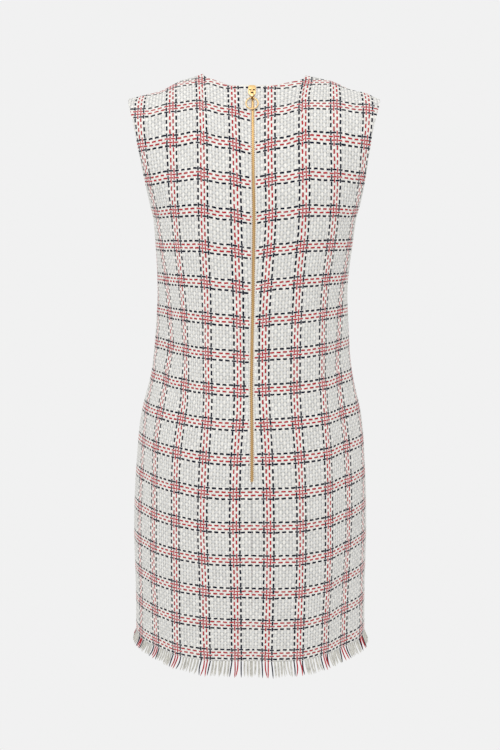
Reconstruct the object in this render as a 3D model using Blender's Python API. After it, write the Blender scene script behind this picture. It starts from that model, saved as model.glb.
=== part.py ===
"""Sleeveless shift dress in checked tweed, filled out as worn, with an exposed metal zip
down the centre back and a frayed hem.

Frame: metres, +Z up. The origin lies midway between the two neck points of the shoulder
seams, where the wearer's shoulders hold the dress. The front faces -Y, the zip faces +Y,
and the wearer's left is +X.

Each cut piece is one wall of cloth. Its points are found from places on the flat cut:
"across" runs over the body from the centre line, along the weft, and "height" or the
share "up" the yoke runs along the warp.
"""

import math
import random

import bmesh
import bpy
import numpy as np
from mathutils import Matrix, Vector

# ---------------------------------------------------------------- driving dimensions
WALL = 0.0024  # thickness of the tweed
GAP = 0.0003  # between pieces that meet at a seam or touch
EDGE_STEP = 0.003  # narrow row and column of faces along each cut edge

HEM = -0.872  # height of the cloth's lower edge
UNDERARM = -0.215  # height of the foot of the armholes
NECK_HALF_WIDTH = 0.0735  # from the centre to a neck point of the shoulder seam
NECK_BACK_DEPTH, NECK_FRONT_DEPTH = 0.042, 0.094  # from the shoulder seam, in plan
BACK_CROWN, FRONT_CROWN = 0.041, 0.016  # height of the cut-away crown over the neck points
SHOULDER_REACH = 0.0748  # cloth from the centre line to the neck point
SHOULDER_TIP = 0.1920  # cloth from the centre line to the shoulder's outer end
SHOULDER_SLOPE = math.tan(math.radians(18.5))
SWAY_ARM = 0.18  # half width at which the sway in the table below is measured

# Rounded sections of the worn dress. A section's outline is a superellipse: the powers
# are 2 on an ellipse and higher on a squarer curve.
SECTIONS = np.array((
    # height, half_width, back_depth, front_depth, back_power, front_power
    (-0.900, 0.1830, 0.148, 0.106, 1.90, 2.20),
    (-0.800, 0.1820, 0.150, 0.106, 1.92, 2.20),
    (-0.700, 0.1832, 0.150, 0.105, 1.94, 2.20),
    (-0.600, 0.1790, 0.146, 0.102, 1.94, 2.20),
    (-0.520, 0.1695, 0.135, 0.096, 1.92, 2.20),
    (-0.450, 0.1560, 0.122, 0.089, 1.92, 2.20),
    (-0.385, 0.1480, 0.116, 0.085, 1.95, 2.30),
    (-0.320, 0.1455, 0.113, 0.092, 2.10, 2.40),
    (-0.260, 0.1492, 0.111, 0.108, 2.25, 2.50),
    (-0.215, 0.1540, 0.109, 0.114, 2.40, 2.50),
))
HEIGHT, HALF_WIDTH, BACK_DEPTH, FRONT_DEPTH, BACK_POWER, FRONT_POWER = range(6)

# The worn dress leans: its sides lie this far to +X of an even shape, at SWAY_ARM out.
SWAY = np.array((
    # height, sway
    (-0.900, 0.0025),
    (-0.650, 0.0025),
    (-0.520, 0.0015),
    (-0.385, -0.0005),
    (-0.320, -0.0015),
    (-0.260, -0.0045),
    (-0.200, -0.0060),
    (-0.100, -0.0030),
    (0.000, -0.0030),
))

# Above the underarm each line of warp is a cubic curve that goes on as it came, up to
# the shoulder seam or, inside the neck, to a crown that the neckline cuts away. Its low
# inner point lies low_length along, moved by low_side and low_out. Its high one is out
# and up from the origin, and high_side from the curve's upper end.
BACK_YOKE = np.array((
    # across, low_length, low_side, low_out, high_side, high_out, high_up
    (0.000, 0.083, 0.000, 0.001, 0.000, 0.0680, -0.0450),
    (0.030, 0.082, 0.000, 0.002, 0.000, 0.0660, -0.0400),
    (0.060, 0.080, 0.000, 0.003, 0.000, 0.0625, -0.0330),
    (0.080, 0.080, 0.000, 0.005, 0.001, 0.0580, -0.0310),
    (0.120, 0.080, 0.002, 0.008, 0.002, 0.0540, -0.0310),
    (0.165, 0.072, 0.010, 0.020, 0.008, 0.0560, -0.0500),
    (0.215, 0.070, 0.011, 0.014, 0.012, 0.0520, -0.0600),
))
FRONT_YOKE = np.array((
    (0.000, 0.077, 0.000, -0.006, 0.000, 0.0840, -0.0120),
    (0.030, 0.077, 0.000, -0.006, 0.000, 0.0820, -0.0140),
    (0.060, 0.077, 0.000, -0.006, 0.000, 0.0740, -0.0220),
    (0.080, 0.078, 0.000, -0.006, 0.001, 0.0660, -0.0290),
    (0.120, 0.078, 0.004, -0.008, 0.003, 0.0540, -0.0340),
    (0.165, 0.072, 0.014, -0.012, 0.006, 0.0480, -0.0500),
    (0.215, 0.070, 0.016, -0.008, 0.008, 0.0460, -0.0600),
))

# The armhole's edge, as the cloth left between it and the centre line.
ARMHOLE = np.array((
    # up the yoke, on the back, on the front; the first row is worked out from the seam
    (0.06, 0.2020, 0.1950),
    (0.14, 0.1925, 0.1800),
    (0.25, 0.1860, 0.1710),
    (0.40, 0.1815, 0.1670),
    (0.60, 0.1800, 0.1685),
    (0.80, 0.1845, 0.1780),
    (1.00, SHOULDER_TIP, SHOULDER_TIP),
))

# Faces of the walls: kept columns follow the warp, and fanned ones run to the side.
TAPE_HALF_WIDTH = 0.0150
NECK_TURNS = np.radians((24.0, 38.0, 52.0, 66.0, 79.0, 90.0))  # round a quarter of the neck
SHOULDER_COLUMNS = np.linspace(0.097, 0.154, 4)
FANNED_COLUMNS = 4
LOWER_ROWS = 21
YOKE_ROWS = 8
ROW_CLEARANCE = 0.006  # an even row closer than this to a row at the zip's end is left out
YOKE_FOOT_SHARE, YOKE_TOP_SHARES = 0.03, [0.985, 0.9988]  # narrow rows at the yoke's edges
SECTION_POINTS, CURVE_POINTS, LINE_POINTS = 200, 120, 60  # points a curve is measured by

ZIP_TOP, ZIP_END = -0.0205, -0.596
ZIP_CLOSING = 0.004  # from the zip's end down to where the back pieces meet
CHAIN_HALF_WIDTH = 0.0022
CHAIN_THICKNESS = 0.0026
CHAIN_END_HALF_WIDTH = 0.0010
CHAIN_TAPER = 0.012
CHAIN_SUNK = 0.0002  # the teeth's crowns lie this far under the cloth's face
TAPE_THICKNESS = 0.0008
TAPE_GAP = 0.0004  # between the tape and the cloth over it

SLIDER_HEIGHT = -0.0258  # height of the slider's middle
SLIDER_LENGTH, SLIDER_WIDTH, SLIDER_PLATE = 0.0148, 0.0118, 0.0012
SLIDER_FOOT = 0.72  # width of the slider's foot, as a share of its head's
SLIDER_CORNER, SLIDER_ROUNDING = 0.0032, 0.0003
POST_HALF_WIDTH = 0.0019
POST_FOOT, POST_HEAD = 0.0019, 0.0064  # from the slider's middle up to the post's ends
BRIDGE_RADIUS, BRIDGE_WIRE = 0.00215, 0.00065
BRIDGE_PLACE = -0.0022  # from the slider's middle up to the bridge's
PIN_OVER_PLATE = 0.0014  # the tab's hinge line over the slider's upper plate
TAB_LENGTH = 0.0130  # from that hinge line to the ring's hinge line
TAB_HALF_WIDTH, TAB_THICKNESS = 0.0029, 0.0012
TAB_FOOT = 0.62  # width of the tab's foot, as a share of its head's
TAB_CORNER = 0.0009
TAB_NECK_LENGTH, TAB_NECK_RISE = 0.0016, 0.0010  # the neck, and its middle over the bore
TAB_WINDOW_HALF_WIDTH, TAB_WINDOW_LENGTH = 0.0011, 0.0034
TAB_BAR = 0.0008  # half the bar that turns under the bridge
BARREL_RADIUS, BARREL_BORE, BARREL_HALF_LENGTH = 0.0021, 0.0015, 0.0013
RING_RADIUS, RING_WIRE = 0.0089, 0.00115
RING_LIFT = 0.0016  # the ring's wire over the cloth, at the ring's lower side

YARN_SPACING = 0.0062  # between the bunches of warp that make the fringe
FRINGE_LENGTH, FRINGE_UNEVEN = 0.0245, 0.0035
FRINGE_ROOT = 0.0032  # width of a bunch at its root
FRINGE_TIP = 0.55  # its width at the tip, as a share of that
FRINGE_SPLAY = 0.0025  # how far tips stray outwards, and half of it to either side
STRIP_HEIGHT, STRIP_THICKNESS = 0.0026, 0.0018
ROOT_INSET = 0.0002  # from the strip's faces to a yarn's
SEED = 11

SMOOTH_TURN, SHARP_TURN = math.radians(40), math.radians(70)  # between neighbouring faces

TWEED, BRASS, TAPE = (0.80, 0.77, 0.72), (0.72, 0.50, 0.24), (0.86, 0.82, 0.74)


# ---------------------------------------------------------------- the worn form
def smooth(table, column, place):
    """A table's column at any place, on a smooth curve through the table's rows."""
    places, values = table[:, 0], table[:, column]
    slopes = np.gradient(values, places)
    place = np.clip(place, places[0], places[-1])
    row = np.clip(np.searchsorted(places, place, side="right") - 1, 0, len(places) - 2)
    step = places[row + 1] - places[row]
    t = (place - places[row]) / step
    start = (1 + 2 * t) * (1 - t) ** 2 * values[row] + t * (1 - t) ** 2 * step * slopes[row]
    end = t * t * (3 - 2 * t) * values[row + 1] - t * t * (1 - t) * step * slopes[row + 1]
    return start + end


def section(height, back):
    """A quarter of the section, from the centre to the side, and the cloth along it."""
    turn = np.linspace(0, math.pi / 2, SECTION_POINTS)
    depth = smooth(SECTIONS, BACK_DEPTH if back else FRONT_DEPTH, height)
    power = smooth(SECTIONS, BACK_POWER if back else FRONT_POWER, height)
    x = smooth(SECTIONS, HALF_WIDTH, height) * np.sin(turn) ** (2 / power)
    y = depth * np.abs(np.cos(turn)) ** (2 / power)
    points = np.stack([x, y if back else -y, np.full(len(turn), height)], axis=1)
    steps = np.linalg.norm(np.diff(points, axis=0), axis=1)
    return points, np.concatenate([[0.0], np.cumsum(steps)])


def lower_points(height, across, back):
    """Points of one row below the underarm."""
    points, cloth = section(height, back)
    return np.stack([np.interp(across, cloth, points[:, k]) for k in range(3)], axis=1)


def top_points(across, back):
    """Upper ends of the yoke's curves: the shoulder seam, or the crown over the neck."""
    inner = np.clip(across / SHOULDER_REACH, 0, 1)
    outer = np.maximum(across - SHOULDER_REACH, 0) / math.hypot(1, SHOULDER_SLOPE)
    crown = (BACK_CROWN if back else FRONT_CROWN) * (1 - inner**2)
    x = NECK_HALF_WIDTH * inner + outer
    return np.stack([x, np.zeros(len(x)), crown - SHOULDER_SLOPE * outer], axis=1)


def yoke_curves(across, back):
    """The four points of each yoke curve, as four arrays of points."""
    table, facing = (BACK_YOKE, 1) if back else (FRONT_YOKE, -1)
    length, side, out, *high = (smooth(table, k, across) for k in range(1, 7))
    bottom, top = lower_points(UNDERARM, across, back), top_points(across, back)
    along = bottom - lower_points(UNDERARM - EDGE_STEP, across, back)
    along /= np.linalg.norm(along, axis=1)[:, None]
    low = bottom + along * length[:, None] + np.stack([side, facing * out, 0 * out], axis=1)
    high = np.stack([top[:, 0] + high[0], facing * high[1], high[2]], axis=1)
    return bottom, low, high, top


def on_curves(curves, share):
    bottom, low, high, top = curves
    return (
        (1 - share) ** 3 * bottom
        + 3 * share * (1 - share) ** 2 * low
        + 3 * share**2 * (1 - share) * high
        + share**3 * top
    )


def neck_shares(curves, across, back):
    """How far up each curve the neckline cuts it, and 1 past the neck point."""
    shares = np.linspace(0.5, 1, CURVE_POINTS)
    out = np.array([np.abs(on_curves(curves, share)[:, 1]) for share in shares])
    inner = np.clip(across / SHOULDER_REACH, 0, 1)
    neck = (NECK_BACK_DEPTH if back else NECK_FRONT_DEPTH) * np.sqrt(1 - inner**2)
    return np.array([np.interp(-neck[k], -out[:, k], shares) for k in range(len(across))])


def yoke_points(up, across, back):
    """Points of one row of the yoke. up is 0 at the underarm and 1 at the top edge."""
    curves = yoke_curves(across, back)
    return on_curves(curves, up * neck_shares(curves, across, back)[:, None])


def armhole_edge(up, back):
    seam = section(UNDERARM, back)[1][-1]
    ups = np.concatenate([[0.0], ARMHOLE[:, 0]])
    return np.interp(up, ups, np.concatenate([[seam], ARMHOLE[:, 1 if back else 2]]))


def placed(points, side):
    """A half's points on the wearer's left (side 1) or right (side -1), with the sway."""
    x, z = points[:, 0], points[:, 2]
    sway = smooth(SWAY, 1, z) * (x / SWAY_ARM) ** 2
    return np.stack([side * x + sway, points[:, 1], z], axis=1)


def zip_half_width(height):
    """Half the width of the space between the two back pieces, on their faces."""
    heights = (ZIP_END - ZIP_CLOSING, ZIP_END, ZIP_END + CHAIN_TAPER)
    return np.interp(height, heights, (GAP / 2, CHAIN_END_HALF_WIDTH + GAP, CHAIN_HALF_WIDTH + GAP))


# ---------------------------------------------------------------- rows and columns
def columns(inner, outer):
    """Places across one half, from its inner to its outer edge."""
    neck = SHOULDER_REACH * np.sin(NECK_TURNS)
    kept = [inner, inner + EDGE_STEP, TAPE_HALF_WIDTH, *neck, neck[-1] + EDGE_STEP]
    fanned = np.linspace(SHOULDER_COLUMNS[-1], outer - EDGE_STEP, FANNED_COLUMNS + 1)[1:]
    return np.concatenate([kept, SHOULDER_COLUMNS, fanned, [outer - GAP / 2]])


def row_heights():
    """Heights of the rows below the underarm, with those that the zip's end needs."""
    rows = list(np.linspace(HEM, UNDERARM, LOWER_ROWS + 1)) + [HEM + EDGE_STEP]
    zip_rows = [ZIP_END - ZIP_CLOSING, ZIP_END, ZIP_END + CHAIN_TAPER]
    kept = [z for z in rows if min(abs(z - zip_row) for zip_row in zip_rows) > ROW_CLEARANCE]
    return sorted(kept + zip_rows)


def yoke_shares():
    shares = list(np.linspace(0, 1, YOKE_ROWS + 1)[1:-1])
    return [YOKE_FOOT_SHARE] + shares + YOKE_TOP_SHARES


def half_rows(back, inner_edge):
    """Rows of points of a half panel, from the hem up, from the centre to the side."""
    rows = []
    for height in row_heights():
        cloth = section(height, back)[1][-1]
        rows.append(lower_points(height, columns(inner_edge(height), cloth), back))
    for up in yoke_shares():
        place = columns(inner_edge(0.0), armhole_edge(up, back))
        rows.append(yoke_points(up, place, back))
    return rows


def zip_rows(top, places):
    """Rows of points over the zip, on the back pieces' own rows, from its end up to top.
    places gives a row's places across at its height."""
    rows = [lower_points(z, places(z), True) for z in row_heights() if z >= ZIP_END]
    before, height = 0.0, UNDERARM
    for up in yoke_shares() + [1.0]:
        lower, height = height, yoke_points(up, np.array([0.0]), True)[0, 2]
        if height >= top:
            up = before + (up - before) * (top - lower) / (height - lower)
            rows.append(yoke_points(up, places(top), True))
            break
        rows.append(yoke_points(up, places(height), True))
        before = up
    return rows


# ---------------------------------------------------------------- Blender helpers
def clear_scene():
    for obj in list(bpy.data.objects):
        bpy.data.objects.remove(obj, do_unlink=True)


def material(name, colour, roughness, metallic=0.0):
    made = bpy.data.materials.new(name)
    made.use_nodes = True
    shader = made.node_tree.nodes["Principled BSDF"]
    shader.inputs["Base Color"].default_value = (*colour, 1)
    shader.inputs["Roughness"].default_value = roughness
    shader.inputs["Metallic"].default_value = metallic
    return made


def object_from(bm, name, finish, collection, smooth=True):
    mesh = bpy.data.meshes.new(name)
    bm.to_mesh(mesh)
    bm.free()
    mesh.materials.append(finish)
    if smooth:
        mesh.shade_smooth()
        mesh.set_sharp_from_angle(angle=SMOOTH_TURN)
    obj = bpy.data.objects.new(name, mesh)
    collection.objects.link(obj)
    return obj


def sheet(rows, outwards):
    """A grid laid on the rows of points, with its faces towards the outwards direction."""
    bm = bmesh.new()
    across, up = len(rows[0]) - 1, len(rows) - 1
    bmesh.ops.create_grid(bm, x_segments=across, y_segments=up, size=0.5)
    for vertex in bm.verts:
        column = round((vertex.co.x + 0.5) * across)
        row = round((vertex.co.y + 0.5) * up)
        vertex.co = rows[row][column]
    bm.normal_update()
    middle = sum((face.normal * face.calc_area() for face in bm.faces), Vector())
    if middle.dot(Vector(outwards)) < 0:
        bmesh.ops.reverse_faces(bm, faces=bm.faces)
    return bm


def face_outwards(bm):
    bmesh.ops.recalc_face_normals(bm, faces=bm.faces)
    if bm.calc_volume(signed=True) < 0:
        bmesh.ops.reverse_faces(bm, faces=bm.faces)
    bm.normal_update()


def thicken(bm, thickness, seams=()):
    """Closes a sheet into a wall that grows inwards from it. seams holds pairs of an axis
    and a reach: rim points within that reach of the axis's zero get a square edge."""
    bm.normal_update()
    rim = [edge for edge in bm.edges if edge.is_boundary]
    into = {vertex: -vertex.normal for vertex in bm.verts}
    for vertex in {vertex for edge in rim for vertex in edge.verts}:
        for axis, reach in seams:
            if abs(vertex.co[axis]) < reach:
                into[vertex][axis] = 0
                into[vertex].normalize()
    copied = bmesh.ops.duplicate(bm, geom=bm.verts[:] + bm.edges[:] + bm.faces[:])
    for vertex, inner in copied["vert_map"].items():
        if vertex in into:
            inner.co = vertex.co + into[vertex] * thickness
    faces = [item for item in copied["geom"] if isinstance(item, bmesh.types.BMFace)]
    bmesh.ops.reverse_faces(bm, faces=faces)
    bmesh.ops.bridge_loops(bm, edges=[edge for edge in bm.edges if edge.is_boundary])
    face_outwards(bm)
    return bm


def box(bm, size, middle):
    made = bmesh.ops.create_cube(bm, size=1, matrix=Matrix.Diagonal((*size, 1)))["verts"]
    bmesh.ops.translate(bm, verts=made, vec=middle)
    return made


def joined(base, *others):
    """The union of the objects, as one mesh without modifiers."""
    for other in others:
        union = base.modifiers.new("Union", "BOOLEAN")
        union.operation = "UNION"
        union.object = other
    graph = bpy.context.evaluated_depsgraph_get()
    mesh = bpy.data.meshes.new_from_object(base.evaluated_get(graph))
    base.modifiers.clear()
    base.data = mesh
    for other in others:
        bpy.data.objects.remove(other, do_unlink=True)


def cut(base, *cutters):
    for cutter in cutters:
        hole = base.modifiers.new("Cut", "BOOLEAN")
        hole.object = cutter
        cutter.hide_render = True
        cutter.display_type = "WIRE"


# ---------------------------------------------------------------- the cut pieces
def make_back(side, name, finish, parts):
    rows = [placed(row, side) for row in half_rows(True, zip_half_width)]
    seams = ((0, CHAIN_HALF_WIDTH + 2 * GAP), (1, GAP))
    object_from(thicken(sheet(rows, (0, 1, 0)), WALL, seams), name, finish, parts)


def make_front(finish, parts):
    rows = []
    for row in half_rows(False, lambda height: 0.0):
        right, left = placed(row, -1), placed(row, 1)
        rows.append(np.concatenate([right[:0:-1], left]))
    object_from(thicken(sheet(rows, (0, -1, 0)), WALL, ((1, GAP),)), "front", finish, parts)


# ---------------------------------------------------------------- the zip
def centre_back(height):
    """A point on the cloth's face at the centre back, and its frame: across (wearer's
    right), out of the cloth, and up along it."""
    middle = np.array([0.0])
    line = [yoke_points(up, middle, True)[0] for up in np.linspace(1, 0, LINE_POINTS)]
    line += [lower_points(z, middle, True)[0] for z in np.linspace(UNDERARM, HEM, LINE_POINTS)[1:]]
    line = np.array(line)
    heights = np.array([height, height + EDGE_STEP])
    outs = np.interp(-heights, -line[:, 2], line[:, 1])
    point, above = (Vector((0.0, y, z)) for y, z in zip(outs, heights))
    up = (above - point).normalized()
    out = Vector((0, up.z, -up.y))
    return point, out, up


def centre_frame(height, lift=0.0):
    """Matrix that puts x to the wearer's right, y up along the zip and z out of the cloth."""
    point, out, up = centre_back(height)
    frame = Matrix((-Vector((1, 0, 0)), up, out)).transposed().to_4x4()
    frame.translation = point + lift * out
    return frame


def zip_strip(name, rows, depth, thickness, finish, parts):
    """A strip on the given rows of the cloth's face, moved into the dress by depth."""
    bm = sheet(rows, (0, 1, 0))
    bm.normal_update()
    for vertex in bm.verts:
        vertex.co -= vertex.normal * depth
    object_from(thicken(bm, thickness), name, finish, parts)


def make_chain(finish, parts):
    def half_width(height):
        return np.array([zip_half_width(height) - GAP])

    top = (centre_frame(SLIDER_HEIGHT) @ Vector((0, POST_FOOT - 2 * GAP, 0))).z
    halves = zip_rows(top, half_width)
    rows = [np.concatenate([placed(row, -1), placed(row, 1)]) for row in halves]
    zip_strip("zip_chain", rows, CHAIN_SUNK, CHAIN_THICKNESS, finish, parts)


def make_tape(side, name, finish, parts):
    """One tape of the zip, sewn inside the back piece beside the teeth."""
    inner = CHAIN_HALF_WIDTH + GAP
    places = np.array([inner, inner + EDGE_STEP, TAPE_HALF_WIDTH])
    rows = [placed(row, side) for row in zip_rows(ZIP_TOP, lambda height: places)]
    zip_strip(name, rows, WALL + TAPE_GAP, TAPE_THICKNESS, finish, parts)


def slider_plate(lift):
    """A plate of the slider: a rounded shield, from its wide head to its narrower foot."""
    bm = bmesh.new()
    plate = box(bm, (SLIDER_WIDTH, SLIDER_LENGTH, SLIDER_PLATE), (0, 0, lift + SLIDER_PLATE / 2))
    for vertex in plate:
        if vertex.co.y < 0:
            vertex.co.x *= SLIDER_FOOT
    corners = [e for e in bm.edges if abs(e.verts[0].co.z - e.verts[1].co.z) > SLIDER_PLATE / 2]
    bmesh.ops.bevel(
        bm, geom=corners, offset=SLIDER_CORNER, segments=4, profile=0.5, affect="EDGES",
        material=-1,
    )
    rims = [e for e in bm.edges if len(e.link_faces) == 2 and e.calc_face_angle() > SHARP_TURN]
    bmesh.ops.bevel(
        bm, geom=rims, offset=SLIDER_ROUNDING, segments=1, profile=0.5, affect="EDGES",
        material=-1,
    )
    return bm


def make_slider(finish, parts):
    """Upper plate, lower plate and the post between them, with the bridge for the tab."""
    under = -(WALL + TAPE_GAP + TAPE_THICKNESS + GAP + SLIDER_PLATE)
    slider = object_from(slider_plate(GAP), "zip_slider", finish, parts)
    lower = object_from(slider_plate(under), "slider_lower", finish, parts)
    bm = bmesh.new()
    high, low = GAP + SLIDER_PLATE / 2, under + SLIDER_PLATE / 2
    middle = (0, (POST_FOOT + POST_HEAD) / 2, (high + low) / 2)
    box(bm, (2 * POST_HALF_WIDTH, POST_HEAD - POST_FOOT, high - low), middle)
    post = object_from(bm, "slider_post", finish, parts)
    bpy.ops.mesh.primitive_torus_add(
        major_radius=BRIDGE_RADIUS, minor_radius=BRIDGE_WIRE, major_segments=20,
        minor_segments=8, rotation=(0, math.pi / 2, 0),
        location=(0, BRIDGE_PLACE, pin_height()),
    )
    bridge = bpy.context.object
    for collection in list(bridge.users_collection):
        collection.objects.unlink(bridge)
    parts.objects.link(bridge)
    bm = bmesh.new()
    bm.from_mesh(bridge.data)
    foot = pin_height() - GAP - SLIDER_PLATE / 2
    geometry = bm.verts[:] + bm.edges[:] + bm.faces[:]
    turned = Vector((1, 0, 0))  # the torus's own x points down once it stands on the plate
    bmesh.ops.bisect_plane(
        bm, geom=geometry, plane_co=turned * foot, plane_no=turned, clear_outer=True
    )
    bmesh.ops.holes_fill(bm, edges=[e for e in bm.edges if e.is_boundary], sides=0)
    bm.to_mesh(bridge.data)
    bm.free()
    joined(slider, lower, post, bridge)
    slider.matrix_world = centre_frame(SLIDER_HEIGHT)


def pin_height():
    """The tab's hinge line over the cloth's face."""
    return GAP + SLIDER_PLATE + PIN_OVER_PLATE


def tab_hinge():
    return centre_frame(SLIDER_HEIGHT) @ Matrix.Translation((0, BRIDGE_PLACE, pin_height()))


def ring_hinge():
    return tab_hinge() @ Matrix.Translation((0, -TAB_LENGTH, 0))


def tube_across(radius, half_length, middle_y, segments=20):
    bm = bmesh.new()
    bmesh.ops.create_cone(
        bm, cap_ends=True, segments=segments, radius1=radius, radius2=radius,
        depth=2 * half_length, matrix=Matrix.Translation((0, middle_y, 0))
        @ Matrix.Rotation(math.pi / 2, 4, "Y"),
    )
    return bm


def make_tab(finish, parts, cutters):
    """The small tab: a plate with a window round the bridge and a barrel for the ring."""
    bm = bmesh.new()
    head, foot = TAB_BAR, -(TAB_LENGTH - BARREL_RADIUS)
    middle = (0, (head + foot) / 2, 0)
    plate = box(bm, (2 * TAB_HALF_WIDTH, head - foot, TAB_THICKNESS), middle)
    for vertex in plate:
        if vertex.co.y < middle[1]:
            vertex.co.x *= TAB_FOOT
    corners = [e for e in bm.edges if abs(e.verts[0].co.z - e.verts[1].co.z) > TAB_THICKNESS / 2]
    bmesh.ops.bevel(
        bm, geom=corners, offset=TAB_CORNER, segments=3, profile=0.5, affect="EDGES",
        material=-1,
    )
    tab = object_from(bm, "pull_tab", finish, parts)
    barrel = object_from(
        tube_across(BARREL_RADIUS, BARREL_HALF_LENGTH, -TAB_LENGTH), "tab_barrel", finish, parts
    )
    bm = bmesh.new()
    neck = (2 * BARREL_HALF_LENGTH, TAB_NECK_LENGTH, TAB_THICKNESS)
    box(bm, neck, (0, -TAB_LENGTH + BARREL_BORE + TAB_NECK_RISE, 0))
    strut = object_from(bm, "tab_neck", finish, parts)
    joined(tab, barrel, strut)
    bm = bmesh.new()
    window = (2 * TAB_WINDOW_HALF_WIDTH, TAB_WINDOW_LENGTH, 4 * TAB_THICKNESS)
    box(bm, window, (0, -TAB_BAR - TAB_WINDOW_LENGTH / 2, 0))
    opening = object_from(bm, "tab_window_cutter", finish, cutters)
    bore = object_from(
        tube_across(BARREL_BORE, 2 * BARREL_HALF_LENGTH, -TAB_LENGTH),
        "tab_bore_cutter", finish, cutters,
    )
    cut(tab, opening, bore)
    for piece in (tab, opening, bore):
        piece.matrix_world = tab_hinge()


def make_ring(finish, parts):
    """The pull ring: its origin is on its hinge line, inside the tab's barrel."""
    fall = math.asin((pin_height() - RING_LIFT) / (2 * RING_RADIUS))
    bpy.ops.mesh.primitive_torus_add(
        major_radius=RING_RADIUS, minor_radius=RING_WIRE, major_segments=32, minor_segments=8
    )
    ring = bpy.context.object
    ring.name = ring.data.name = "pull_ring"
    for collection in list(ring.users_collection):
        collection.objects.unlink(ring)
    parts.objects.link(ring)
    ring.data.materials.append(finish)
    ring.data.transform(Matrix.Translation((0, -RING_RADIUS, 0)))
    ring.data.shade_smooth()
    ring.matrix_world = ring_hinge() @ Matrix.Rotation(fall, 4, "X")


# ---------------------------------------------------------------- the fringe
def hem_line(back, side, inner):
    """Points along the wall's lower edge, one between each pair of yarns, and the way
    out of the cloth at each."""
    points, cloth = section(HEM, back)
    length = cloth[-1] - GAP / 2 - inner
    steps = round(length / YARN_SPACING)
    place = inner + length * np.arange(steps + 1) / steps
    line = placed(lower_points(HEM, place, back), side)
    along = np.gradient(line, axis=0)
    out = np.stack([along[:, 1], -along[:, 0], np.zeros(len(line))], axis=1)
    out /= np.linalg.norm(out, axis=1)[:, None]
    if (out[0, 1] > 0) != back:
        out = -out
    return line, out


def make_fringe(name, line, out, finish, parts, chance):
    """A narrow strip under the hem's edge, with a tapered yarn drawn down from each of
    its lower faces."""
    middle = line - out * (WALL / 2)
    middle[:, 2] -= GAP
    half = out * (STRIP_THICKNESS / 2)
    drop = np.array((0, 0, -STRIP_HEIGHT))
    rows = [middle + half, middle + half + drop, middle - half + drop, middle - half]
    rows.append(rows[0])
    bm = bmesh.new()
    bmesh.ops.create_grid(bm, x_segments=len(line) - 1, y_segments=4, size=0.5)
    for vertex in bm.verts:
        column = round((vertex.co.x + 0.5) * (len(line) - 1))
        vertex.co = rows[round((vertex.co.y + 0.5) * 4)][column]
    bmesh.ops.remove_doubles(bm, verts=bm.verts, dist=1e-6)
    bmesh.ops.holes_fill(bm, edges=[e for e in bm.edges if e.is_boundary], sides=4)
    face_outwards(bm)
    width = np.linalg.norm(line[1] - line[0])
    roots = [face for face in bm.faces if face.normal.z < -0.9]
    bmesh.ops.inset_individual(bm, faces=roots, thickness=ROOT_INSET, use_even_offset=True)
    narrowing = 1 - FRINGE_ROOT / (width - 2 * ROOT_INSET)
    for face in roots:
        root = face.calc_center_median()
        along = (face.verts[0].co - face.verts[1].co, face.verts[1].co - face.verts[2].co)
        along = max(along, key=lambda side: side.length).normalized()
        for vertex in face.verts:
            vertex.co -= along * along.dot(vertex.co - root) * narrowing
        length = FRINGE_LENGTH - STRIP_HEIGHT + chance.uniform(-1, 1) * FRINGE_UNEVEN
        away = Vector((root.x, root.y, 0)).normalized()
        stray = away * chance.uniform(0, 1) + along * chance.uniform(-0.5, 0.5)
        tip = bmesh.ops.extrude_discrete_faces(bm, faces=[face])["faces"][0]
        for vertex in tip.verts:
            vertex.co = root + (vertex.co - root) * FRINGE_TIP
            vertex.co += FRINGE_SPLAY * stray - Vector((0, 0, length))
    face_outwards(bm)
    object_from(bm, name, finish, parts, smooth=False)


def make_fringes(finish, parts):
    chance = random.Random(SEED)
    for side, name in ((1, "fringe_back_left"), (-1, "fringe_back_right")):
        make_fringe(name, *hem_line(True, side, GAP / 2), finish, parts, chance)
    right, right_out = hem_line(False, -1, 0.0)
    left, left_out = hem_line(False, 1, 0.0)
    line = np.concatenate([right[:0:-1], left])
    out = np.concatenate([right_out[:0:-1], left_out])
    make_fringe("fringe_front", line, out, finish, parts, chance)


def main():
    clear_scene()
    parts = bpy.data.collections.new("shift_dress")
    cutters = bpy.data.collections.new("cutters")
    for collection in (parts, cutters):
        bpy.context.scene.collection.children.link(collection)
    tweed = material("tweed", TWEED, 0.9)
    brass = material("brass", BRASS, 0.3, metallic=1.0)
    tape = material("zip_tape", TAPE, 0.85)

    make_front(tweed, parts)
    make_back(1, "back_left", tweed, parts)
    make_back(-1, "back_right", tweed, parts)
    make_chain(brass, parts)
    make_tape(1, "zip_tape_left", tape, parts)
    make_tape(-1, "zip_tape_right", tape, parts)
    make_slider(brass, parts)
    make_tab(brass, parts, cutters)
    make_ring(brass, parts)
    make_fringes(tweed, parts)


main()
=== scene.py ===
"""Looks of the checked tweed shift dress: woven panels, frayed hem, metal zip and a studio.

Laid out as an add-on and run as a script. Lengths are in metres, +Z up. The front faces
-Y, the zip faces +Y, and +X is the wearer's left. The cloth is laid out in threads: "u"
counts warp yarns from the centre and "v" counts weft yarns up from under the hem.
"""

import functools
import math
import random

import bmesh
import bpy
import numpy as np
from bpy.props import FloatProperty, FloatVectorProperty, IntProperty, PointerProperty
from mathutils import Matrix, Vector


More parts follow.
